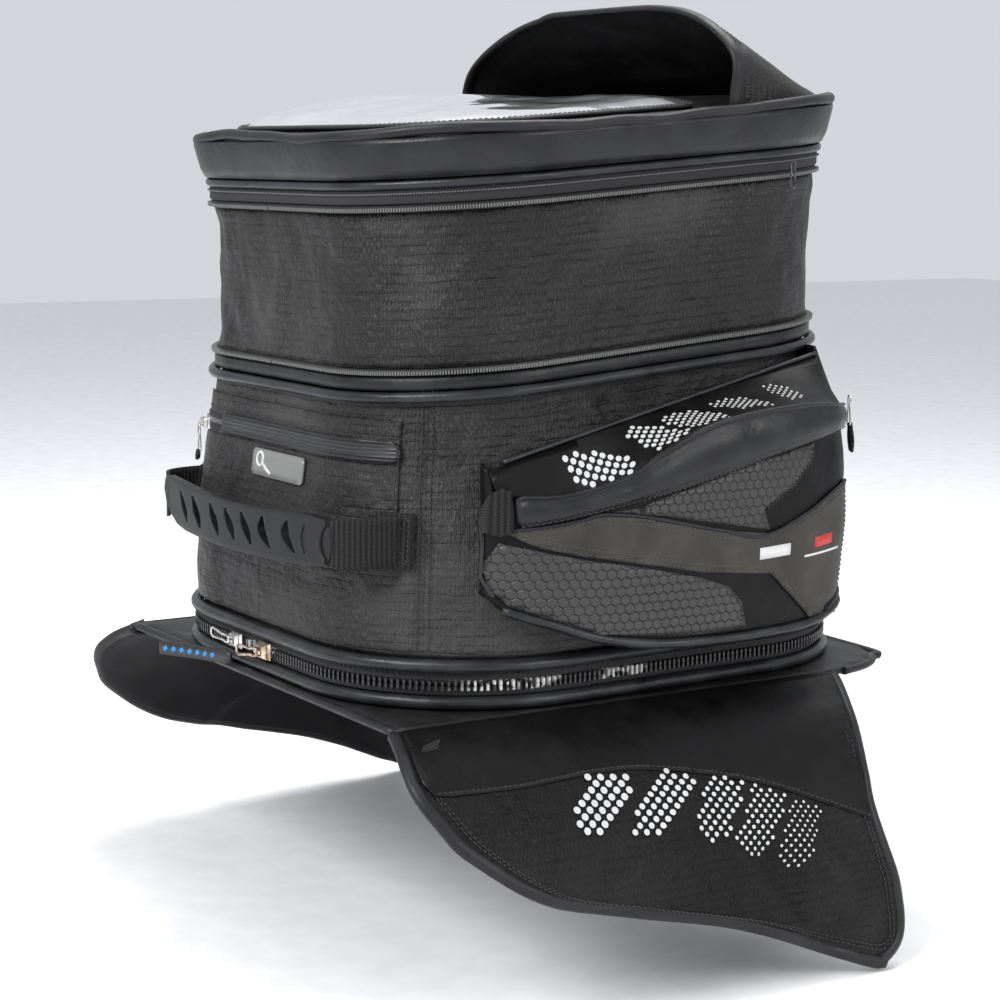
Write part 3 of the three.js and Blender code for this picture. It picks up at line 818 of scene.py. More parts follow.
def seam(batch, shape, on, lift, closed=False, pitch=3.4):
    """Stitches along a flat line laid on a surface."""
    line = resample(list(shape) + ([shape[0]] if closed else []), pitch)
    for p, q in zip(line[:-1], line[1:]):
        a, b = (p + q) / 2
        normal = surface_normal(on, a, b)
        start, end = Vector(on(*p, lift)), Vector(on(*q, lift))
        along = (end - start).normalized()
        batch.bar((start + end) / 2, along, normal.cross(along), normal, (pitch * 0.34, 0.3, 0.3))


def sewn(name, lines, on, lift, material, body, pitch, closed=False):
    """A piece of stitches along several flat lines laid on a surface."""
    batch = Batch()
    for line in lines:
        seam(batch, line, on, lift, closed, pitch)
    batch.make(name, material, body)


def inset(shape, by):
    """The shape's outline moved inwards."""
    points = [Vector(p) for p in shape]
    area = sum(p.x * q.y - q.x * p.y for p, q in zip(points, points[1:] + points[:1]))
    result = []
    for k, p in enumerate(points):
        before = (p - points[k - 1]).normalized()
        after = (points[(k + 1) % len(points)] - p).normalized()
        turn = Vector((-(before + after).y, (before + after).x)).normalized() * (1 if area > 0 else -1)
        sharp = max(0.45, abs(turn.dot(Vector((-before.y, before.x)))))
        result.append(tuple(p + turn * by / sharp))
    return result


# ---------- apron and wings ----------
WING_LENGTH = 188
WING_REAR = ((0, -188), (43, -197), (69, -190), (90, -177), (118, -139), (134, -84), (153, -10), (188, 72))
WING_FRONT = ((0, 122), (46, 105), (100, 94), (150, 102), (176, 101), (188, 84))
WING_SEAM = [tuple(p) for p in curve(((-188, 54), (-137, 56), (-58, 56), (8, 73), (90, 108)), 8.0)]
WING_FOLDS = (
    (((-58, 84), (-106, 126)), 8, -4.0), (((-40, 92), (-84, 132)), 12, 3.0),
    (((8, 116), (54, 176)), 8, -5.0), (((30, 108), (78, 168)), 11, 4.5), (((56, 106), (92, 160)), 8, -3.5),
    (((-14, 118), (24, 164)), 11, 3.5), (((-120, 96), (-150, 116)), 12, 2.0),
)
WING_STEPS = ((-4.6, 3.4), (3.5, 4.5))
WING_TOP = (177.4, 3.0)
WING_SLOPES = (17, 76)
WING_BEND = 123


def wing_line():
    """Distance, x, z and slope down the wing, which bends from its first slope to its last."""
    first, last = WING_SLOPES
    rows = [(0.0, *WING_TOP, math.radians(first))]
    for k in range(1, 200):
        slope = math.radians(first + (last - first) * min(1, k / WING_BEND))
        _, x, z, _ = rows[-1]
        rows.append((float(k), x + math.cos(slope), z - math.sin(slope), slope))
    return np.array(rows)


WING = wing_line()
WING_REAR_CURVE = curve(WING_REAR)
WING_FRONT_CURVE = curve(WING_FRONT)


def wing_edges(distance):
    return along(WING_REAR_CURVE, distance), along(WING_FRONT_CURVE, distance)


def crease(a, b, line, width, height):
    """A fold along a line from one point to another, fading at both ends."""
    start, end = Vector(line[0]), Vector(line[1])
    run = end - start
    share = (Vector((a, b)) - start).dot(run) / run.length_squared
    near = start + run * clamp(share)
    away = (Vector((a, b)) - near).length
    fade = math.sin(math.pi * clamp(0.15 + 0.7 * share))
    return height * fade * math.exp(-((away / width) ** 2))


MAGNETS = ((87, -70), (146, 62))


def magnet_room(y, distance):
    """One over the magnets, where the two cloths stay flat, and nothing away from them."""
    room = 0.0
    for at, across in MAGNETS:
        past = max(abs(distance - at) - 14, abs(y - across) - 30, 0.0)
        room = max(room, 1 - min(1.0, past / 14))
    return room


def on_wing(y, distance, lift=0.0):
    """A point on the wing's outer cloth, with its folds."""
    x, z, slope = (float(np.interp(distance, WING[:, 0], WING[:, k])) for k in (1, 2, 3))
    loose = clamp(distance / 60)
    wave = 2.0 * swirl(y / 62, distance / 48, 3.1)
    wave += 0.8 * swirl(y / 21, distance / 24, 8.4)
    wave += 1.3 * swirl(y / 9, distance / 13, 2.0) * dip(y, 84, 24) * dip(distance, 62, 26)
    wave += sum(crease(y, distance, line, width, height) for line, width, height in WING_FOLDS)
    room = magnet_room(y, distance)
    out = lift + loose * min(6.0 - 5.4 * room, max(-4.6 + 4.4 * room, wave))
    return (x + math.sin(slope) * out, y, z + math.cos(slope) * out)


def wing_sheet(name, depth, thick, gather, material):
    """One layer of the wing; gather draws its edges towards the binding."""
    rows, columns = 60, 70
    top, under, flat = [], [], []
    for i in range(rows):
        distance = WING_LENGTH * i / (rows - 1)
        rear, front = wing_edges(distance)
        for j in range(columns):
            share = 0.5 - 0.5 * math.cos(math.pi * j / (columns - 1))
            y = rear + (front - rear) * share
            edge = min(y - rear, front - y, (WING_LENGTH - distance) * 1.2)
            pull = gather * math.exp(-max(0.0, edge) / 4.0)
            top.append(on_wing(y, distance, -depth + pull))
            under.append(on_wing(y, distance, -depth - thick + pull))
            flat.append((y, distance))
    count = len(top)
    faces = grid_faces(rows, columns, turn=True)
    faces += grid_faces(rows, columns, first=count)
    faces += [(a, b, count + b, count + a) for a, b in rim_edges(rows, columns)]
    faces = [tuple(reversed(face)) for face in faces]
    return piece(name, top + under, faces, material, "wing_SIDE", True, flat + flat)


def wing_outline(inward=0.0):
    rear = [(y + inward, d) for d, y in WING_REAR if d < WING_LENGTH - 1]
    front = [(y - inward, d) for d, y in reversed(WING_FRONT) if d < WING_LENGTH - 1]
    tip = [(76, WING_LENGTH - inward), (88, WING_LENGTH - inward)]
    return curve(rear + tip + front)


def make_wing():
    cover = wing_sheet("wing_SIDE_cloth", 0.0, 2.0, -2.6, M["wing_cloth"])
    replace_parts(cover, Side.name("wing_SIDE_cover"))
    lining = wing_sheet("wing_SIDE_backing", 7.4, 1.4, 2.0, M["lining"])
    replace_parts(lining, Side.name("wing_SIDE_lining"))
    edge = wing_outline()
    path = [on_wing(y, d, -3.6) for y, d in edge]
    ups = [surface_normal(on_wing, y, d) for y, d in edge]
    tube("wing_SIDE_binding", path, 4.2, M["binding"], "wing_SIDE", up=ups, flat=0.8)
    lines = [wing_outline(6.5), wing_outline(9.0)]
    sewn("wing_SIDE_edge_stitches", lines, on_wing, 0.3, M["thread"], "wing_SIDE", 3.4)
    rear_top = [(wing_edges(d)[0] + 3, d) for d in (2, 15, 30, 44)]
    upper = rear_top + [(-190, 53)] + list(WING_SEAM[1:-1]) + [(90, 108)]
    upper += [(wing_edges(d)[1] - 3, d) for d in (95, 69, 34, 2)]
    patch("wing_SIDE_upper_panel", upper, on_wing, 0.7, 0.6, M["satin"], "wing_SIDE", 5.0)
    batch = Batch()
    line = list(WING_SEAM[:-1]) + [(90, 108)]
    seam(batch, [(y, d - 2.2) for y, d in line], on_wing, 0.8)
    bar = Vector(on_wing(-183, 22, 1.2))
    for k in range(9):
        batch.bar(bar + Vector((0, 1.2 * k, 0.3 * k)), Vector((0, 0.3, 1)).normalized(), FRONT,
                  Vector((0.5, 0, 0.87)), (3.2, 0.35, 0.4))
    batch.make("wing_SIDE_panel_stitches", M["thread"], "wing_SIDE")
    slots = [
        ((-92, 54), (-60, 57), (-29, 34), 1.0, 2.2), ((-47, 58), (-20, 63), (-36, 36), 0.93, 1.85),
        ((-14, 65), (8, 74), (-26, 34), 0.84, 1.45), ((12, 76), (33, 86), (-27, 35), 0.76, 1.15),
        ((36, 87), (55, 97), (-24, 35), 0.7, 0.85),
    ]
    dots("wing_SIDE_reflective_dots", slots, WING_STEPS, on_wing, M["reflective"], "wing_SIDE")


def make_apron():
    right = [(176.4, -187), (176.4, 131), (168, 156), (150, 176), (122, 186)]
    shape = [(-176.4, -187)] + right + [(-x, y) for x, y in right[:0:-1]]
    flat_sheet = patch("apron_cloth", shape, lambda a, b, lift: (a, b, 3 + lift), 0.0, 3.0,
                       M["smooth_cloth"], "base", 12.0)
    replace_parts(flat_sheet, "apron_centre")
    rear = [Vector((x, -187.4, 1.4)) for x in range(-176, 177, 8)]
    tube("apron_rear_binding", rear, 3.4, M["binding"], "base", flat=0.75)
    front = [Vector((x, y, 1.4)) for x, y in curve(shape[2:], 5.0)]
    tube("apron_front_binding", front, 3.2, M["binding"], "base", flat=0.75)


# ---------- main bag ----------
WALL_FOLDS = (
    (128, 26, 0.5, 1.3), (60, 40, -0.35, 0.8), (ROUND - 122, 30, 0.6, 1.7),
    (205, 34, 0.8, 1.5), (ROUND - 70, 40, -0.5, 0.9),
)


def shell_push(point, distance, z):
    """How far the lower wall's cloth stands out: loose folds, and seams drawn in."""
    x, y, height = point
    out = 2.2 * bumps(point, 58, 2.0) + 0.7 * bumps(point, 15, 5.0, 1.6)
    near_top = clamp((188 - z) / 20) * clamp((z - 33) / 14)
    for place in WALL_SEAMS:
        out -= 2.2 * dip(distance, place, 3.0)
    crease = dip(y, -38, 30) * dip(height, 172, 13) * (1 if abs(x) > 120 else 0)
    out += 2.6 * crease * math.sin((y + 0.75 * (height - 160)) / 3.6)
    for place, width, lean, deep in WALL_FOLDS:
        fold = math.sin((distance - place + lean * height) / 6.5 + 1.5 * bumps(point, 40, 9.0))
        out += deep * dip(distance, place, width) * max(0.0, fold) ** 2 * (0.4 + bumps(point, 35, 3.0))
    crease = dip(distance, 112, 30) * dip(height, 160, 9)
    out += 1.2 * crease * math.sin((distance + height) / 5.5)
    return out * near_top


def make_shell():
    wall = [(0.6, 10, 0), (0.6, 32.8, 0)] + list(zip(WALL_OFFSET, WALL_Z, WALL_SHARE))
    outer = ring("lower_cloth", wall, M["ripstop"], None, closed=False, count=420,
                 push=shell_push, step=4.0)
    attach(outer, "bag")
    inner = [(-12.5, 187.6, 1), (-1.4, 95, 0.4), (-2.4, 40, 0), (-3, 13, 0)]
    inside_wall = ring("lower_inner_cloth", inner[::-1], M["lining"], "bag", closed=False, step=12.0)
    inside_wall.data.flip_normals()
    ring("lower_mouth_edge", band_profile(186.6, 189, -12.6, -8.6, 1), M["binding"], "bag")
    floor = [(x, y) for x, y, _, _, _ in outline(90)]
    patch("lower_floor", [(x * 0.985, y * 0.985) for x, y in floor],
          lambda a, b, lift: (a, b, 12.6 + lift), 0.0, 2.4, M["lining"], "bag", 40.0)
    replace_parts(outer, "lower_shell")
    seams = Batch()
    for place in WALL_SEAMS:
        for side in (-3.2, 3.2):
            line = [tuple(on_shell(place + side, z, 0.4)[0]) for z in range(37, 186, 4)]
            stitches(seams, line, level)
    seams.make("lower_seam_stitches", M["thread"], "bag")


def make_base_zip():
    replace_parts(ring_tube("base_edge_piping", 5.4, 7.4, 3.9, 0, M["piping"], "base"), "base_piping")
    low = ring("base_zip_tape", band_profile(11.4, 17.2, 0.8, 4.6, 0), M["tape"], "base")
    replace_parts(low, "base_zip_lower")
    high = ring("bag_zip_tape", band_profile(17.8, 24.2, 0.8, 4.6, 0), M["tape"], "bag")
    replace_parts(high, "base_zip_upper")
    teeth("base_zip_teeth", 5.6, 16.2, 0, 3.5, (0.95, 1.7, 1.3), M["zip_plastic"], "base")
    teeth("bag_zip_teeth", 5.6, 19.0, 0, 3.5, (0.95, 1.7, 1.3), M["zip_plastic"], "bag")
    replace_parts(ring_tube("bag_foot_piping", 5.4, 28.4, 4.1, 0, M["piping"], "bag"), "lower_piping")
    stitch = Batch()
    line = [tuple(on_wall(k * ROUND / 350, 5.0, 24.0, 0)[0]) for k in range(351)]
    stitches(stitch, line, level, pitch=3.6)
    stitch.make("bag_zip_stitches", M["thread"], "bag")


def make_middle():
    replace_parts(ring_tube("shoulder_piping", -6.4, 191.6, 3.2, 1, M["piping"], "bag"), "middle_piping")
    band = ring("shoulder_band", band_profile(194.8, 203.2, -11, -7.4, 1, 1.2), M["coated"], "bag")
    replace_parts(band, "middle_band")
    tape = ring("expansion_tape_low", band_profile(203.5, 207.3, -11.4, -8.8, 1, 0.5), M["tape"], "bag")
    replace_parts(tape, "middle_zip")
    teeth("expansion_coil_low", -7.0, 205.4, 1, 1.75, (0.6, 1.3, 1.7), M["coil"], "bag")


def expansion_push(point, distance, z):
    out = 3.8 * bumps(point, 70, 11.0) + 1.5 * bumps(point, 24, 4.0, 1.4) + 0.9 * bumps(point, 10, 7.0, 1.4)
    fold = math.sin(point[0] / 17 + z / 21 + 2.5 * bumps(point, 60, 8.0))
    out += 1.1 * max(0.0, fold) ** 3 * bumps(point, 45, 5.5)
    rear_left = dip(point[0], 20, 150) * dip(point[1], -170, 60)
    out += 2.0 * rear_left * math.sin(distance / 9 + z / 14) * bumps(point, 35, 1.5)
    edge = min(1.0, (z - 207) / 10, (295.4 - z) / 10)
    return out * max(0.0, edge)


def make_expansion():
    profile = [(-9.6, 207.5, 1), (-10.2, 228, 1), (-10.4, 250, 1), (-9.4, 275, 1), (-8, 295.2, 1)]
    cloth = ring("expansion_cloth", profile, M["ripstop"], None, closed=False, count=420,
                 push=expansion_push, step=3.6)
    thicken(cloth, 1.0)
    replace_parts(cloth, "expansion_wall")
    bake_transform(cloth)
    tape = ring("expansion_tape_high", band_profile(295.6, 300.0, -9.4, -6.4, 1, 0.5), M["tape"], "top")
    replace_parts(tape, "upper_zip")
    teeth("expansion_coil_high", -5.4, 297.4, 1, 1.75, (0.6, 1.3, 1.7), M["coil"], "top")
    band = ring("lid_zip_tape", band_profile(300.4, 308.6, -9, -5.2, 1, 0.6), M["tape"], "top")
    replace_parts(band, "upper_band")
    teeth("lid_zip_coil", -4.9, 306.2, 1, 1.75, (0.55, 0.45, 1.2), M["coil"], "top")
    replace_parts(ring_tube("top_piping", -5.2, 311.2, 2.7, 1, M["piping"], "top"), "upper_piping")


# ---------- lid, map window and hood ----------
def rim_wave(point):
    """The lid's edge is soft, so it runs in long low waves."""
    return 1.6 * math.sin(point[0] / 31 + point[1] / 47) + 1.2 * bumps(point, 40, 6.0)


def make_lid():
    def push(point, distance, z):
        share = clamp((z - 314) / 20)
        ruck = 0.5 * math.sin(distance / 5.5) * dip(z, 325, 10) * bumps(point, 60, 3.0)
        return share * (1.3 * bumps(point, 34, 9.0) + ruck)

    rim = [(-6, 314.6, 1), (-2.2, 314.6, 1), (0.6, 320, 1), (2.6, 327, 1), (4.2, 334, 1),
           (4.2, 337.2, 1), (0.6, 337.2, 1), (-1.5, 327, 1)]
    made = ring("lid_side", rim, M["coated"], "lid", push=push, count=360)
    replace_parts(made, "lid_rim")
    edge = ring_tube("lid_edge_binding", 1.8, 339.6, 3.4, 1, M["binding"], "lid", 1.0, rim_wave)
    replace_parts(edge, "lid_piping")
    dome = [(-2.6, 331, 1), (1.2, 337.4, 1), (-6, 338.4, 1), (-20, 340.5, 1), (-40, 343.6, 1),
            (-60, 345.6, 1), (-80, 346.6, 1), (-92, 347, 1)]
    top = ring("lid_top_cloth", dome, M["smooth_cloth"], "lid", closed=False, step=4.0)
    cap(top, 300, True)
    below = [(-96, 328, 1), (-6, 326, 1), (-3, 330, 1)]
    under = ring("lid_under_cloth", below, M["lining"], "lid", closed=False, step=8.0)
    cap(under, 300, False)
    under.data.flip_normals()
    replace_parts(top, "lid_panel")
    skirt = [(-11, 312.8, 1), (-11, 322, 1), (-12.5, 322, 1), (-12.5, 312.8, 1)]
    ring("lid_lining_skirt", skirt, M["lining"], "lid")


def cap(made, count, last):
    """Close the first or last ring of an open surface with a flat face."""
    net = bmesh.new()
    net.from_mesh(made.data)
    net.verts.ensure_lookup_table()
    face = net.faces.new(net.verts[-count:] if last else net.verts[:count][::-1])
    face.smooth = True
    bmesh.ops.triangulate(net, faces=[face])
    net.to_mesh(made.data)
    net.free()


DOME = ((0, 6, 20, 40, 60, 80, 92), (337.4, 338.4, 340.5, 343.6, 345.6, 346.6, 347))


def lid_surface(x, y, lift=0.0):
    """The lid's domed top at a plan point."""
    depth = min(92.0, plan_depth(x, y))
    z = float(np.interp(depth, *DOME))
    return (x, y, z + PITCH * y + lift)


def plan_depth(x, y):
    """How far a plan point is inside the bag's outline."""
    return float(np.min(np.hypot(FINE[:, 0] - x, FINE[:, 1] - y)))


def make_window():
    edge = [(x - nx * 26, y - ny * 26) for x, y, nx, ny, _ in outline(140)]
    edge = [p for p in edge if p[1] < 36]
    left = [p for p in edge if p[0] < 0]
    right = [p for p in edge if p[0] >= 0]
    shape = right + [(right[-1][0], 38), (left[0][0], 38)] + left

    def blister(x, y, lift):
        point = lid_surface(x, y, 1.2 + lift)
        swell = 2.0 * swirl(x / 60, y / 45, 2.2)
        swell += 0.8 * swirl(x / 22, y / 30, 7.7)
        inner = clamp((plan_depth(x, y) - 26) / 14) * clamp((38 - y) / 12)
        billow = 7.0 * dip(x, -70, 90) * dip(y, -60, 80)
        return (point[0], point[1], point[2] + (2.4 + swell + billow) * inner)

    film = patch("map_film", shape, blister, 0.0, 0.5, M["film"], "lid", 6.0)
    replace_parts(film, "map_window")
    path = [Vector(lid_surface(x, y, 1.6)) for x, y in resample(shape + [shape[0]], 5.0)[:-1]]
    tube("map_film_binding", path, 3.2, M["binding"], "lid", closed=True, flat=0.5)
    batch = Batch()
    around = inset(shape, -1.0)
    line = [tuple(lid_surface(x, y, 3.2)) for x, y in resample(around + around[:1], 5.0)]
    stitches(batch, line, lambda p: UP)
    batch.make("map_film_stitches", M["thread"], "lid")


HOOD_START, HOOD_HEIGHT, HOOD_LENGTH = 55, 56, 108
HOOD_CREST = ((HOOD_START, 1.0), (64, 0.93), (83, 0.72), (107, 0.45), (124, 0.27), (145, 0.14), (163, -0.02))


def hood_width(y):
    past = max(0.0, y - 72)
    return 51 + math.sqrt(max(0.0, 106 ** 2 - past * past)) - 3


def on_hood(turn, y, lift=0.0):
    """A point on the hood: turn runs from the right foot to the left over the top."""
    share = float(np.interp(y, [p[0] for p in HOOD_CREST], [p[1] for p in HOOD_CREST]))
    c, s = math.cos(turn), math.sin(turn)
    width = hood_width(y) + lift
    height = HOOD_HEIGHT * share + lift
    leftward = 0.0 if c > 0 else min(1.0, -3 * c)
    across, upward = 0.42 + 0.5 * leftward, 0.62 + 0.3 * leftward
    x = math.copysign(abs(c) ** across, c) * width
    z = lid_surface(x, y, -1.0)[2] + max(0.0, s) ** upward * (height + 1.0)
    sag = 3.5 * dip(abs(x), 70, 45) * dip(y, 95, 30) + 2.0 * swirl(x / 45, y / 24, 5.0)
    wide = 7 * dip(z - 344.5 - PITCH * y, 26, 16) * dip(y, HOOD_START, 22)
    x += math.copysign(wide, c) * (abs(c) ** 0.2)
    return (x, y, z - sag * min(1.0, (y - HOOD_START) / 12) * max(0.0, s))


def make_hood():
    rows, columns = 34, 96
    stations = [HOOD_START + HOOD_LENGTH * (i / (rows - 1)) ** 1.1 for i in range(rows)]
    layers = []
    for lift in (0.0, -1.8):
        points = [on_hood(math.pi * j / (columns - 1), y, lift) for y in stations for j in range(columns)]
        layers.append(points)
    flat = [(j * 3.6, (y - HOOD_START) * 1.15) for y in stations for j in range(columns)]
    skin = piece("hood_cloth", layers[0], grid_faces(rows, columns), M["ripstop"], None, True, flat)
    turned = grid_faces(rows, columns, turn=True)
    lining = piece("hood_lining", layers[1], turned, M["lining"], None, True, flat)
    for made in (skin, lining):
        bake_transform(made)
    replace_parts(skin, "hood_skin")
    path = [Vector(on_hood(math.pi * j / 80, HOOD_START, -0.6)) for j in range(81)]
    ups = [Vector((p.x, 0, (p.z - 350) * 2.2)).normalized() for p in path]
    rim = tube("hood_edge_binding", path, 4.2, M["binding"], "hood", up=ups, flat=0.55)
    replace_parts(rim, "hood_arch")
    batch = Batch()
    for inward in (6.5, 9.5):
        line = [on_hood(math.pi * j / 120, HOOD_START + inward, 0.2) for j in range(24, 97)]
        stitches(batch, line, lambda p: Vector((p.x, 0, (p.z - 350) * 2)).normalized())
    batch.make("hood_stitches", M["thread"], "hood")


# ---------- side pockets ----------
POCKET_PLAN = curve(((152, -119), (163, -124), (172, -116), (187, -88), (199, -40),
                     (203, 20), (199, 80), (184, 118), (150, 127), (128, 127)))
POCKET_FLOOR = curve(((-128, 76), (-114, 61), (-87, 52), (-33, 39), (45, 38), (90, 41), (130, 60)))
POCKET_RIDGE = curve(((-124, 129), (-88, 128), (-50, 137), (-29, 150), (11, 167), (72, 173), (128, 169)))
BAND_FOOT = curve(((-112, 108), (-65, 117), (-1, 131), (57, 145), (122, 156)))
FOLD = (163.5, -78, -8 / 150)
LID_STEPS = ((2.9, 3.6), (-2.9, 3.6))


def ridge_height(y):
    """The height of the pocket's outer top edge, where the zip's cover stands up as a rim."""
    return along(POCKET_RIDGE, y)


def fold_x(y):
    return FOLD[0] + FOLD[2] * (y - FOLD[1])


def pocket_top(x, y, lift=0.0):
    """The pocket's top: from its high edge at the bag down to the rim."""
    inner = 153.4 + 0.2 * y + 0.42 * (194 - fold_x(y))
    width = max(4.0, pocket_x(y) - fold_x(y))
    share = (x - fold_x(y)) / width
    return inner + (ridge_height(y) - 3.5 - inner) * min(1.0, max(-0.2, share)) + lift


def pocket_x(y):
    start = int(np.argmin(POCKET_PLAN[:, 1]))
    end = int(np.argmax(POCKET_PLAN[:, 1] > 125.5))
    part = POCKET_PLAN[start:end]
    return float(np.interp(y, part[:, 1], part[:, 0]))


def pocket_bulge(y, z):
    low = along(POCKET_FLOOR, y)
    high = ridge_height(y) - 3
    share = clamp((z - low) / (high - low))
    swell = 4.2 * math.sin(math.pi * share) ** 0.7 - 2.6
    broad = 1.0 * swirl(y / 40, z / 30, 1.0)
    return swell + (broad + 0.5 * swirl(y / 13, z / 11, 4.0))


def on_face(y, z, lift=0.0):
    """A point on the pocket's outer face."""
    slope = (pocket_x(y + 1) - pocket_x(y - 1)) / 2
    out = (pocket_bulge(y, z) + lift) / math.hypot(1, slope)
    return (pocket_x(y) + out, y - slope * out, z)


def make_pocket():
    plan = POCKET_PLAN
    normals = np.gradient(plan, axis=0)
    normals = np.column_stack([normals[:, 1], -normals[:, 0]])
    normals /= np.linalg.norm(normals, axis=1)[:, None]
    rows, flat = [], []
    levels = np.linspace(0, 1, 30)
    run = np.arange(len(plan)) * 3.0
    for level in levels:
        for k, (x, y) in enumerate(plan):
            low = along(POCKET_FLOOR, y)
            high = max(ridge_height(y) - 4.5, pocket_top(x, y, -1.0))
            z = low + (high - low) * level
            out = pocket_bulge(y, z) * min(1.0, min(run[k], run[-1] - run[k]) / 20)
            rows.append((x + normals[k, 0] * out, y + normals[k, 1] * out, z))
            flat.append((run[k], z))
    count = len(plan)
    bottom = []
    for share in (0.35, 0.7, 1.0):
        for k, (x, y) in enumerate(plan):
            low = rows[k][2]
            wall_x = 158 if abs(y) < 100 else x
            bottom.append((x + (min(x, wall_x) - x) * share, y * (1 - 0.02 * share), low + 2.5 * share))
    points = list(reversed([bottom[i * count:(i + 1) * count] for i in range(3)]))
    points = [p for row in points for p in row] + rows
    flat = [(run[k], -10.0 * (3 - i)) for i in range(3) for k in range(count)] + flat
    shell = piece("pocket_SIDE_cloth", points, grid_faces(33, count), M["satin"], "bag", True, flat)
    thicken(shell, 1.8)
    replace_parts(shell, Side.name("pocket_SIDE_body"))
    make_pocket_panels()
    make_pocket_lid()


def make_pocket_panels():
    """The cut and sewn panels on the pocket's face, with the bound seams round them."""
    lower = [(-124, 88), (-118, 101), (-98, 96), (-76, 91), (-41, 85), (-1, 76), (19, 69), (29, 59),
             (33, 44), (0, 42), (-64, 47), (-87, 55), (-102, 60), (-114, 65), (-122, 74)]
    patch("pocket_SIDE_lower_panel", lower, on_face, 0.8, 0.9, M["hex"], "bag")
    upper = [(-60, 117), (-43, 119), (-28, 124), (1, 131), (39, 141), (85, 149), (83, 140), (66, 125),
             (43, 113), (48, 100), (-2, 109), (-35, 114.5)]
    patch("pocket_SIDE_upper_panel", upper, on_face, 0.8, 0.9, M["hex"], "bag")
    taupe = [(-116, 107), (-79, 112.5), (-65, 116), (-41, 114), (-15, 108.5), (13, 102.5), (49, 98),
             (116, 123), (123, 120), (123, 50), (116, 42), (84, 44), (50, 74), (0, 79), (-41, 87),
             (-76, 93), (-98, 98)]
    trim = patch("pocket_SIDE_taupe_panel", taupe, on_face, 1.7, 1.4, M["taupe"], "bag")
    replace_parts(trim, Side.name("pocket_SIDE_trim_panel"))
    lines = [inset(taupe, by) for by in (1.6, 4.4)]
    sewn("pocket_SIDE_taupe_stitches", lines, on_face, 1.75, M["taupe_thread"], "bag", 3.0, closed=True)
    marks = {
        "white": [(40, 83), (64, 84), (64, 91), (40, 90)],
        "red": [(84, 86), (100, 87.5), (100, 94), (84, 92.5)],
        "line": [(76, 81), (108, 83), (108, 84.4), (76, 82.4)],
    }
    for mark, shape in marks.items():
        finish = "red_print" if mark == "red" else "badge_print"
        patch(f"pocket_SIDE_mark_{mark}", shape, on_face, 1.9, 0.3, M[finish], "bag", 4.0)
    lines = [[(20, 66), (29, 57), (31.5, 46)], [(85, 146), (82, 139), (65, 124), (45, 113)]]
    sewn("pocket_SIDE_panel_stitches", lines, on_face, 1.0, M["thread"], "bag", 3.0)
    foot = [(-116, 62), (-102, 57), (-87, 52), (-64, 44.5), (-33, 39.5), (0, 38), (45, 38), (90, 41),
            (121, 50)]
    rear = [(-121, 128), (-124, 116), (-125, 100), (-125, 85), (-122, 73), (-116, 63)]
    for name, line, lift, radius, finish in (
        ("foot_piping", foot, 1.2, 2.9, "piping"), ("rear_piping", rear, 0.4, 1.5, "piping"),
        ("band_seam", taupe[:8], 1.3, 1.2, "binding"),
    ):
        path = [on_face(y, z, lift) for y, z in curve(line, 4.0)]
        tube(f"pocket_SIDE_{name}", path, radius, M[finish], "bag", up=RIGHT)
    tab = [(-123, 107), (-124, 120), (-122, 128), (-117, 131.5), (-112, 129), (-111, 118), (-111, 107),
           (-117, 104.5)]
    patch("pocket_SIDE_end_tab", tab, on_face, 3.6, 2.0, M["webbing"], "bag", 3.0)


def on_pocket_lid(x, y, lift=0.0):
    sag = -1.5 * math.sin(math.pi * clamp((x - fold_x(y)) / 40))
    return (x, y, pocket_top(x, y, 1.0 + lift + sag + 0.8 * swirl(x / 14, y / 17, 3.0)))


def band_section(y):
    """The storm band's section at a place along the pocket, from its foot over the rim and back."""
    foot = along(BAND_FOOT, y)
    rim = ridge_height(y)
    tall = rim - foot
    x, _, _ = on_face(y, 0.5 * (foot + rim), 0.0)
    shape = ((0.0, 2.0), (0.06, 4.2), (0.3, 6.0), (0.55, 6.4), (0.78, 4.8), (0.88, 3.0), (0.9, 3.2),
             (0.94, 4.6), (0.985, 4.2), (1.0, 2.6), (0.99, 0.6), (0.95, -1.0), (0.86, -1.8), (0.7, -1.4),
             (0.3, 0.8), (0.04, 1.2))
    soft = 0.8 * swirl(y / 30, 5.0, 0.0)
    return [(x + out + soft * (0.15 < share < 0.8), foot + tall * share) for share, out in shape]


def make_storm_band():
    """The padded band that covers the pocket's zip; its top is a rolled rim."""
    stations = np.linspace(-110.5, 121, 78)
    sections = [band_section(y) for y in stations]
    columns = len(sections[0])
    points, flat = [], []
    for k, (y, section) in enumerate(zip(stations, sections)):
        close = 0.35 if k in (0, len(stations) - 1) else 1.0
        middle = np.mean(np.array(section), axis=0)
        for j, (x, z) in enumerate(section):
            z = middle[1] + (z - middle[1]) * (close * 0.5 + 0.5)
            points.append((middle[0] + (x - middle[0]) * close, y, z))
            flat.append((y, 3.0 * j))
    faces = grid_faces(len(stations), columns, wrap_columns=True)
    faces += [tuple(reversed(range(columns))), tuple(range(len(points) - columns, len(points)))]
    return piece("pocket_SIDE_storm_band", points, faces, M["coated"], "pocket_lid_SIDE", True, flat)


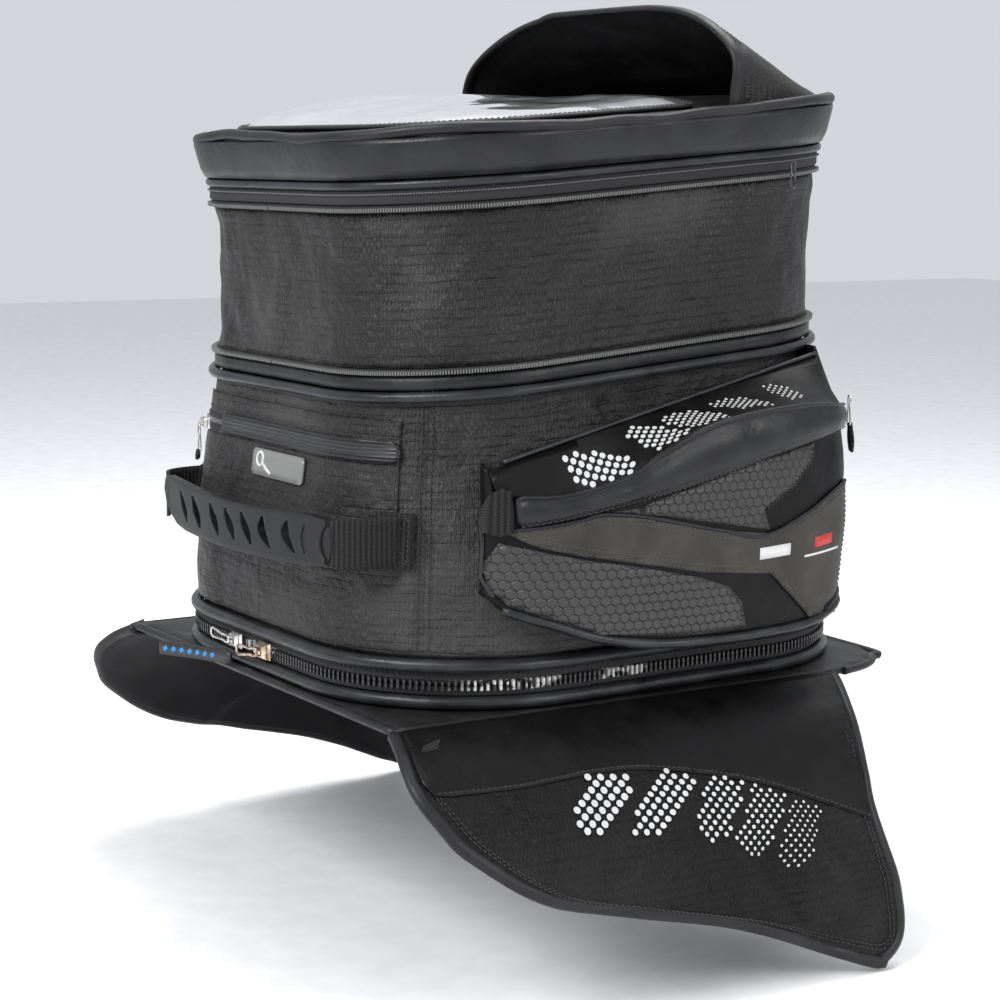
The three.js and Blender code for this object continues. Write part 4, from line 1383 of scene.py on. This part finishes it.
def make_pocket_lid():
    edge = [(x - 1.2, y) for x, y in POCKET_PLAN if x > fold_x(y) + 2 and abs(y) < 124]
    first, last = edge[0], edge[-1]
    shape = edge + [(fold_x(y) + 0.4, y) for y in np.linspace(last[1], first[1], 12)]
    lid = patch("pocket_SIDE_gusset", shape, on_pocket_lid, 0.6, 1.6, M["satin"], "pocket_lid_SIDE", 5.0)
    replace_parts(lid, Side.name("pocket_SIDE_lid"))
    slots = [
        ((188, -74), (196, -38), (-21, -5), 1.0, 1.75), ((196, -26), (200, -3), (-30, -11), 0.92, 1.5),
        ((197, -2), (201, 24), (-29, -8), 0.85, 1.25), ((193, 36), (195, 60), (-25, -12), 0.78, 1.0),
        ((189, 74), (187, 88), (-22, -8), 0.72, 0.8),
    ]
    dots("pocket_SIDE_reflective_dots", slots, LID_STEPS, on_pocket_lid, M["reflective"], "pocket_lid_SIDE")
    cover = make_storm_band()
    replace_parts(cover, Side.name("pocket_SIDE_zip_cover"))
    line = [(y, along(BAND_FOOT, y) + 1.6) for y in range(-108, 120, 6)]
    sewn("pocket_SIDE_band_stitches", [line], on_face, 4.6, M["thread"], "pocket_lid_SIDE", 3.2)
    wall_line = [Vector((fold_x(y) - 0.4, y, pocket_top(fold_x(y), y, 2.2))) for y in range(-112, 127, 6)]
    tube("pocket_SIDE_fold_binding", wall_line, 1.6, M["piping"], "bag", flat=0.8)


# ---------- key pocket and handle ----------
def on_rear(distance, z, lift=0.0):
    """A point on the rear of the lower wall, where the key pocket stands a little proud."""
    point, out = on_shell(distance, z, 0.0)
    proud = 2.2 * clamp((146 - abs(distance)) / 30) * clamp((152 - z) / 8)
    push = shell_push(point, distance % ROUND, z) if 34 < z < 187 else 0.0
    total = lift + max(0.0, push) + 0.2 * proud
    return tuple(point + out * total)


def make_key_pocket():
    shape = [(-112, 88), (130, 88), (130, 166), (-112, 166)]
    panel = patch("key_pocket_cloth", shape, on_rear, 1.6, 1.2, M["ripstop"], "bag", 6.0)
    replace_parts(panel, "key_pocket_panel")
    flap = [(-64, 142.5), (126, 142.5), (130, 144.5), (131.5, 148.5), (130, 152.5), (126, 154.5),
            (-64, 154.5)]
    band = patch("key_pocket_storm_band", flap, on_rear, 4.2, 1.8, M["ribbed"], "bag", 4.0)
    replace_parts(band, "key_pocket_zip_cover")
    plate = [(-16, 124.5), (-14, 122.5), (48, 122.5), (50, 124.5), (50, 136.5), (48, 138.5),
             (-14, 138.5), (-16, 136.5)]
    badge = patch("key_pocket_plate", plate, on_rear, 3.9, 1.6, M["badge"], "bag", 4.0)
    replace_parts(badge, "key_pocket_badge")
    turns = [k * math.pi / 6 for k in range(12)]
    path = [on_rear(-5 + 4.2 * math.cos(t), 132.4 + 4.2 * math.sin(t), 4.1) for t in turns]
    tube("badge_key_bow", path, 0.9, M["badge_print"], "bag", closed=True, up=REAR, sides=6)
    stem = [Vector(on_rear(u, z, 4.1)) for u, z in ((-1.5, 130.5), (5, 127.2), (11, 124.8))]
    tube("badge_key_stem", stem, 1.0, M["badge_print"], "bag", up=REAR, sides=6)
    lines = [[(-110, 140.8), (128, 140.8)], [(-110, 156.6), (128, 156.6)],
             [(-110, 90), (128, 90), (128, 138)]]
    sewn("key_pocket_stitches", lines, on_rear, 1.75, M["thread"], "bag", 3.2)
    tape = [(-112, 144), (-64, 144), (-64, 153), (-112, 153)]
    patch("key_pocket_zip_tape", tape, on_rear, 2.3, 0.9, M["tape"], "bag", 5.0)
    batch = Batch()
    for k in range(26):
        centre = Vector(on_rear(-110.5 + 1.75 * k, 148.4, 2.6))
        batch.bar(centre, RIGHT, UP, REAR, (0.55, 1.5, 0.5))
    batch.make("key_pocket_coil", M["coil"], "bag")


GRIP_HEIGHT = 99
GRIP_PATH = ((-104, -195), (-60, -201), (0, -204), (60, -201.5), (116, -194))
GRIP_FINE = curve(GRIP_PATH, 2.0)


def grip_outline():
    """The grip's edge: its left end is cut away below and its right end is blunt."""
    return [(-106, 5), (-103, -2), (-92, -9), (-78, -13.5), (-60, -15), (40, -15.3), (96, -15), (112, -13),
            (116, -9), (117, 0), (116, 9), (112, 13), (96, 14.6), (0, 13.6), (-70, 14.6), (-98, 14.4),
            (-104, 12)]


def on_grip(x, height, lift=0.0):
    """The grip's outer face; it sags a little in the middle."""
    y = along(GRIP_FINE, x)
    slope = (along(GRIP_FINE, x + 2) - along(GRIP_FINE, x - 2)) / 4
    out = lift / math.hypot(1, slope)
    return (x + slope * out, y - out, GRIP_HEIGHT + height - 2.5 * dip(x, 0, 75))


def slot_shape(x, wide, bend):
    """A slot that leans to the right at its foot; a bend makes it a crescent that bulges left."""
    left, right = [], []
    for k in range(11):
        t = k / 10
        h = -9.0 + 18 * t
        middle = x + 12 * (0.5 - t) * (1 - 0.35 * abs(bend)) - bend * 5 * (1 - 4 * (t - 0.5) ** 2)
        half = wide * math.sin(math.pi * min(0.93, max(0.07, t))) ** 0.8
        left.append((middle - half, h))
        right.append((middle + half, h))
    return right + left[::-1]


def make_handle():
    """The grip: a moulded rubber strap with leaning slots."""
    slots = [(-64, 4.2, 0), (-42, 5.4, 0), (-14, 5.0, 0), (8, 4.8, 0), (29, 4.6, 0.1), (53, 4.8, 0.9),
             (79, 4.6, 1.0)]
    body = patch("handle_grip_rubber", grip_outline(), on_grip, 2.3, 4.6, M["rubber"], None, 3.0)
    for place, wide, bend in slots:
        shape = slot_shape(place, wide, bend)
        cutter = patch("slot_cutter", shape, on_grip, 9.0, 18.0, M["rubber"], None, 30.0)
        cut = body.modifiers.new("slot", "BOOLEAN")
        cut.object = cutter
        cut.solver = "EXACT"
        apply_modifiers(body)
        bpy.data.objects.remove(cutter)
    bevel = soften(body, 0.8)
    bevel.limit_method = "ANGLE"
    bevel.angle_limit = math.radians(50)
    apply_modifiers(body)
    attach(body, "handle")
    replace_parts(body, "handle_grip")
    crescent = [Vector(on_grip(94 + 5 * math.cos(turn), 9 * math.sin(turn), 2.4))
                for turn in np.linspace(math.radians(120), math.radians(245), 9)]
    tube("handle_end_crescent", crescent, 0.9, M["rubber"], "handle", up=REAR, sides=6, flat=0.7)
    mouth = [Vector(on_grip(115 - 8 * math.cos(turn), 11 * math.sin(turn), 2.5))
             for turn in np.linspace(math.radians(-75), math.radians(75), 11)]
    tube("handle_mouth_lip", mouth, 1.6, M["rubber"], "handle", up=REAR, sides=8, flat=0.8)
    routes = {
        "right": (1, ((110, -195.5), (117, -193.6), (124, -187.5), (129, -179), (131, -166.5), (131, -160))),
        "left": (-1, ((-98, -197.3), (-105, -194.8), (-116, -190), (-124, -181), (-128, -168), (-128, -160))),
    }
    for name, (sign, route) in routes.items():
        strap(f"handle_webbing_{name}", route, 84.5, 113.5, sign, f"handle_strap_{name}")
        anchor = [(sign * 118, 84), (sign * 141, 84), (sign * 141, 115), (sign * 118, 115)]
        made = patch(f"handle_anchor_{name}", anchor, on_rear, 4.0, 2.2, M["webbing"], "bag", 6.0)
        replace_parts(made, f"handle_patch_{name}")
        box = [(sign * 121, 87), (sign * 138, 87), (sign * 138, 112), (sign * 121, 112)]
        lines = [box + box[:1], [box[0], box[2]], [box[1], box[3]]]
        sewn(f"handle_anchor_stitches_{name}", lines, on_rear, 4.2, M["thread"], "bag", 2.8)


def strap(name, route, low, high, sign, node):
    line = curve(route, 2.0)
    rows, columns = len(line), 7
    points, flat = [], []
    for thick in (1.0, -1.0):
        for k in range(rows):
            after, before = line[min(k + 1, rows - 1)], line[max(k - 1, 0)]
            t = (after - before) / np.linalg.norm(after - before)
            normal = np.array([t[1], -t[0]]) * sign
            share = k / (rows - 1)
            narrow = 3.5 * (1 - min(1.0, share * 4))
            for j in range(columns):
                z = low + narrow + (high - low - 2 * narrow) * j / (columns - 1)
                p = line[k] + normal * thick
                points.append((p[0], p[1], z))
                flat.append((2.0 * k, z))
    count = rows * columns
    faces = grid_faces(rows, columns) + grid_faces(rows, columns, first=count, turn=True)
    faces += [(b, a, count + a, count + b) for a, b in rim_edges(rows, columns)]
    if sign > 0:
        faces = [tuple(reversed(face)) for face in faces]
    made = piece(name, points, faces, M["webbing"], None, True, flat)
    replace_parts(made, node)
    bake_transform(made)


def apply_modifiers(made):
    bpy.context.view_layer.update()
    graph = bpy.context.evaluated_depsgraph_get()
    mesh = bpy.data.meshes.new_from_object(made.evaluated_get(graph))
    made.modifiers.clear()
    made.data = mesh


# ---------- zip pulls ----------
def make_pulls():
    right = slider("base_slider_bronze", "base_slider_right", (12, -187.8, 17.6), REAR, 1.25, M["bronze"])
    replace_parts(right, "base_zip_right_slider")
    left = slider("base_slider_silver", "base_slider_left", (-26, -187.8, 17.6), REAR, 1.15, M["silver"])
    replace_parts(left, "base_zip_left_slider")
    pull = loop_pull("base_pull_bronze", "base_pull_right", (11, -191.4, 17.2),
                     (-1, 0, -0.1), REAR, 1.2, M["bronze"])
    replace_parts(pull, "base_zip_right_pull")
    pull = loop_pull("base_pull_silver", "base_pull_left", (-27, -191.4, 18.6),
                     (-1, 0, 0.05), REAR, 1.1, M["silver"])
    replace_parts(pull, "base_zip_left_pull")

    def on_tab(x, z, lift):
        along = -15 - x
        return (x, -194.6 - lift - 0.19 * along + 1.6 * dip(along, 40, 30), z + 9.4 - 0.07 * along)

    shape = [(-90, -3.6), (-88, -4.4), (-22, -4.2), (-16, -2.2), (-16, 2.6), (-22, 4.2), (-88, 4.4),
             (-90, 3.6)]
    tab = patch("base_pull_tab", shape, on_tab, 0.9, 1.8, M["tab"], "base_pull_right", 5.0)
    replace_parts(tab, "base_zip_right_tab")
    batch = Batch()
    lean, across = Vector((1, 0.19, 0.5)).normalized(), Vector((-0.5, 0, 1)).normalized()
    for k in range(7):
        centre = Vector(on_tab(-84 + 8.2 * k, 0, 1.0))
        batch.bar(centre, lean, across, REAR, (2.2, 1.5, 0.25))
    batch.make("base_pull_tab_marks", M["blue"], "base_pull_right")

    made = slider("key_slider_body", "key_slider", (-76, -183.4, 148), REAR, 0.9, M["silver"])
    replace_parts(made, "key_pocket_slider")
    pull = loop_pull("key_pull_metal", "key_pull", (-76, -186.5, 146), (0.02, 0, -1), REAR, 0.75, M["silver"])
    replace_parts(pull, "key_pocket_pull")
    cord = smooth_path([(-76, -187.2, 131), (-77.2, -187.4, 128), (-76.4, -187.5, 125), (-75.2, -187.4, 128),
                        (-75.5, -187.2, 130)], 2.0)
    tube("key_pull_cord", cord, 1.3, M["cord"], "key_pull", up=REAR)

    pull = loop_pull("lid_pull_metal", "lid_pull", (158.6, 96, 312.6),
                     (0, 0, -1), (0.992, -0.12, 0), 0.7, M["dark_metal"])
    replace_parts(pull, "lid_pull")
    both_sides(make_pocket_pull)


def make_pocket_pull():
    pull = loop_pull("pocket_SIDE_pull_metal", "pocket_pull_SIDE", (173.5, 132.2, 171),
                     (0, 0, -1), (0.28, 0.96, 0), 0.8, M["silver"])
    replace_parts(pull, Side.name("pocket_SIDE_pull"))
    cord = smooth_path([(174, 132.6, 156), (175.5, 133.4, 146), (174.4, 134, 138), (173, 133.4, 146),
                        (173.6, 132.8, 155)], 2.0)
    tube("pocket_SIDE_pull_cord", cord, 1.4, M["cord"], "pocket_pull_SIDE", up=FRONT)


# ---------- finishes of what the CAD model already has right ----------
def paint_nodes():
    finishes = {
        "board": ("base_board", "floor_board", "wall_board_right", "wall_board_left", "wall_board_front",
                  "wall_board_rear"),
        "silver": ("wing_right_magnet_1", "wing_right_magnet_2", "wing_left_magnet_1", "wing_left_magnet_2"),
    }
    for finish, nodes in finishes.items():
        for node in nodes:
            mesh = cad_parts[node].data
            mesh.materials.clear()
            mesh.materials.append(M[finish])


def make_materials():
    return {
        "ripstop": ripstop_material("ripstop", (0.0045, 0.0043, 0.0045), (0.0145, 0.0137, 0.0135)),
        "wing_cloth": ripstop_material("wing_ripstop", (0.0025, 0.0025, 0.0026),
                                       (0.0045, 0.0045, 0.0046), 0.16),
        "satin": coated_material("satin_cloth", (0.0022, 0.0022, 0.0024), 0.46, 0.7, 0.16),
        "ribbed": ribbed_material("ribbed_tape", (0.014, 0.014, 0.015), 2.2),
        "smooth_cloth": coated_material("smooth_cloth", (0.009, 0.009, 0.0095), 0.5, 0.6),
        "coated": coated_material("coated_band", (0.011, 0.0112, 0.012), 0.36),
        "binding": coated_material("edge_binding", (0.011, 0.011, 0.012), 0.45, 0.8),
        "piping": coated_material("piping", (0.018, 0.0185, 0.021), 0.32, 0.6),
        "taupe": coated_material("taupe_panel", (0.034, 0.032, 0.026), 0.52, 1.1),
        "hex": hex_material(),
        "lining": coated_material("lining", (0.008, 0.008, 0.009), 0.7, 0.5),
        "webbing": webbing_material(),
        "tape": tape_material(),
        "rubber": rubber_material(),
        "zip_plastic": zip_tooth_material(),
        # Painted highlight: the coil is coloured light grey to stand for the glints on its black teeth.
        "coil": plain("zip_coil", (0.13, 0.13, 0.128), 0.3),
        "thread": plain("thread", (0.024, 0.024, 0.0245), 0.6),
        "taupe_thread": plain("taupe_thread", (0.055, 0.052, 0.044), 0.6),
        "reflective": plain("reflective_print", (0.5, 0.5, 0.5), 0.4),
        "badge": plain("badge", (0.2, 0.2, 0.195), 0.4, 0.2),
        "badge_print": plain("badge_print", (0.6, 0.6, 0.59), 0.4),
        "red_print": plain("red_print", (0.45, 0.02, 0.02), 0.4),
        "film": film_material(),
        "silver": metal_material("plated_silver", (0.8, 0.79, 0.77), (0.5, 0.48, 0.46), 0.22),
        "bronze": metal_material("plated_bronze", (0.72, 0.6, 0.48), (0.32, 0.22, 0.15), 0.3),
        "dark_metal": metal_material("plated_dark", (0.16, 0.16, 0.17), (0.05, 0.05, 0.05), 0.35),
        "tab": plain("pull_tab", (0.012, 0.012, 0.014), 0.5),
        "blue": plain("blue_print", (0.0, 0.2, 0.5), 0.45),
        "cord": webbing_material("cord"),
        "board": plain("stiffener", (0.03, 0.03, 0.031), 0.6),
    }


make_camera()
M = make_materials()
make_studio()
make_apron()
both_sides(make_wing)
make_shell()
make_base_zip()
make_middle()
make_expansion()
make_lid()
make_window()
make_hood()
both_sides(make_pocket)
make_key_pocket()
make_handle()
make_pulls()
paint_nodes()
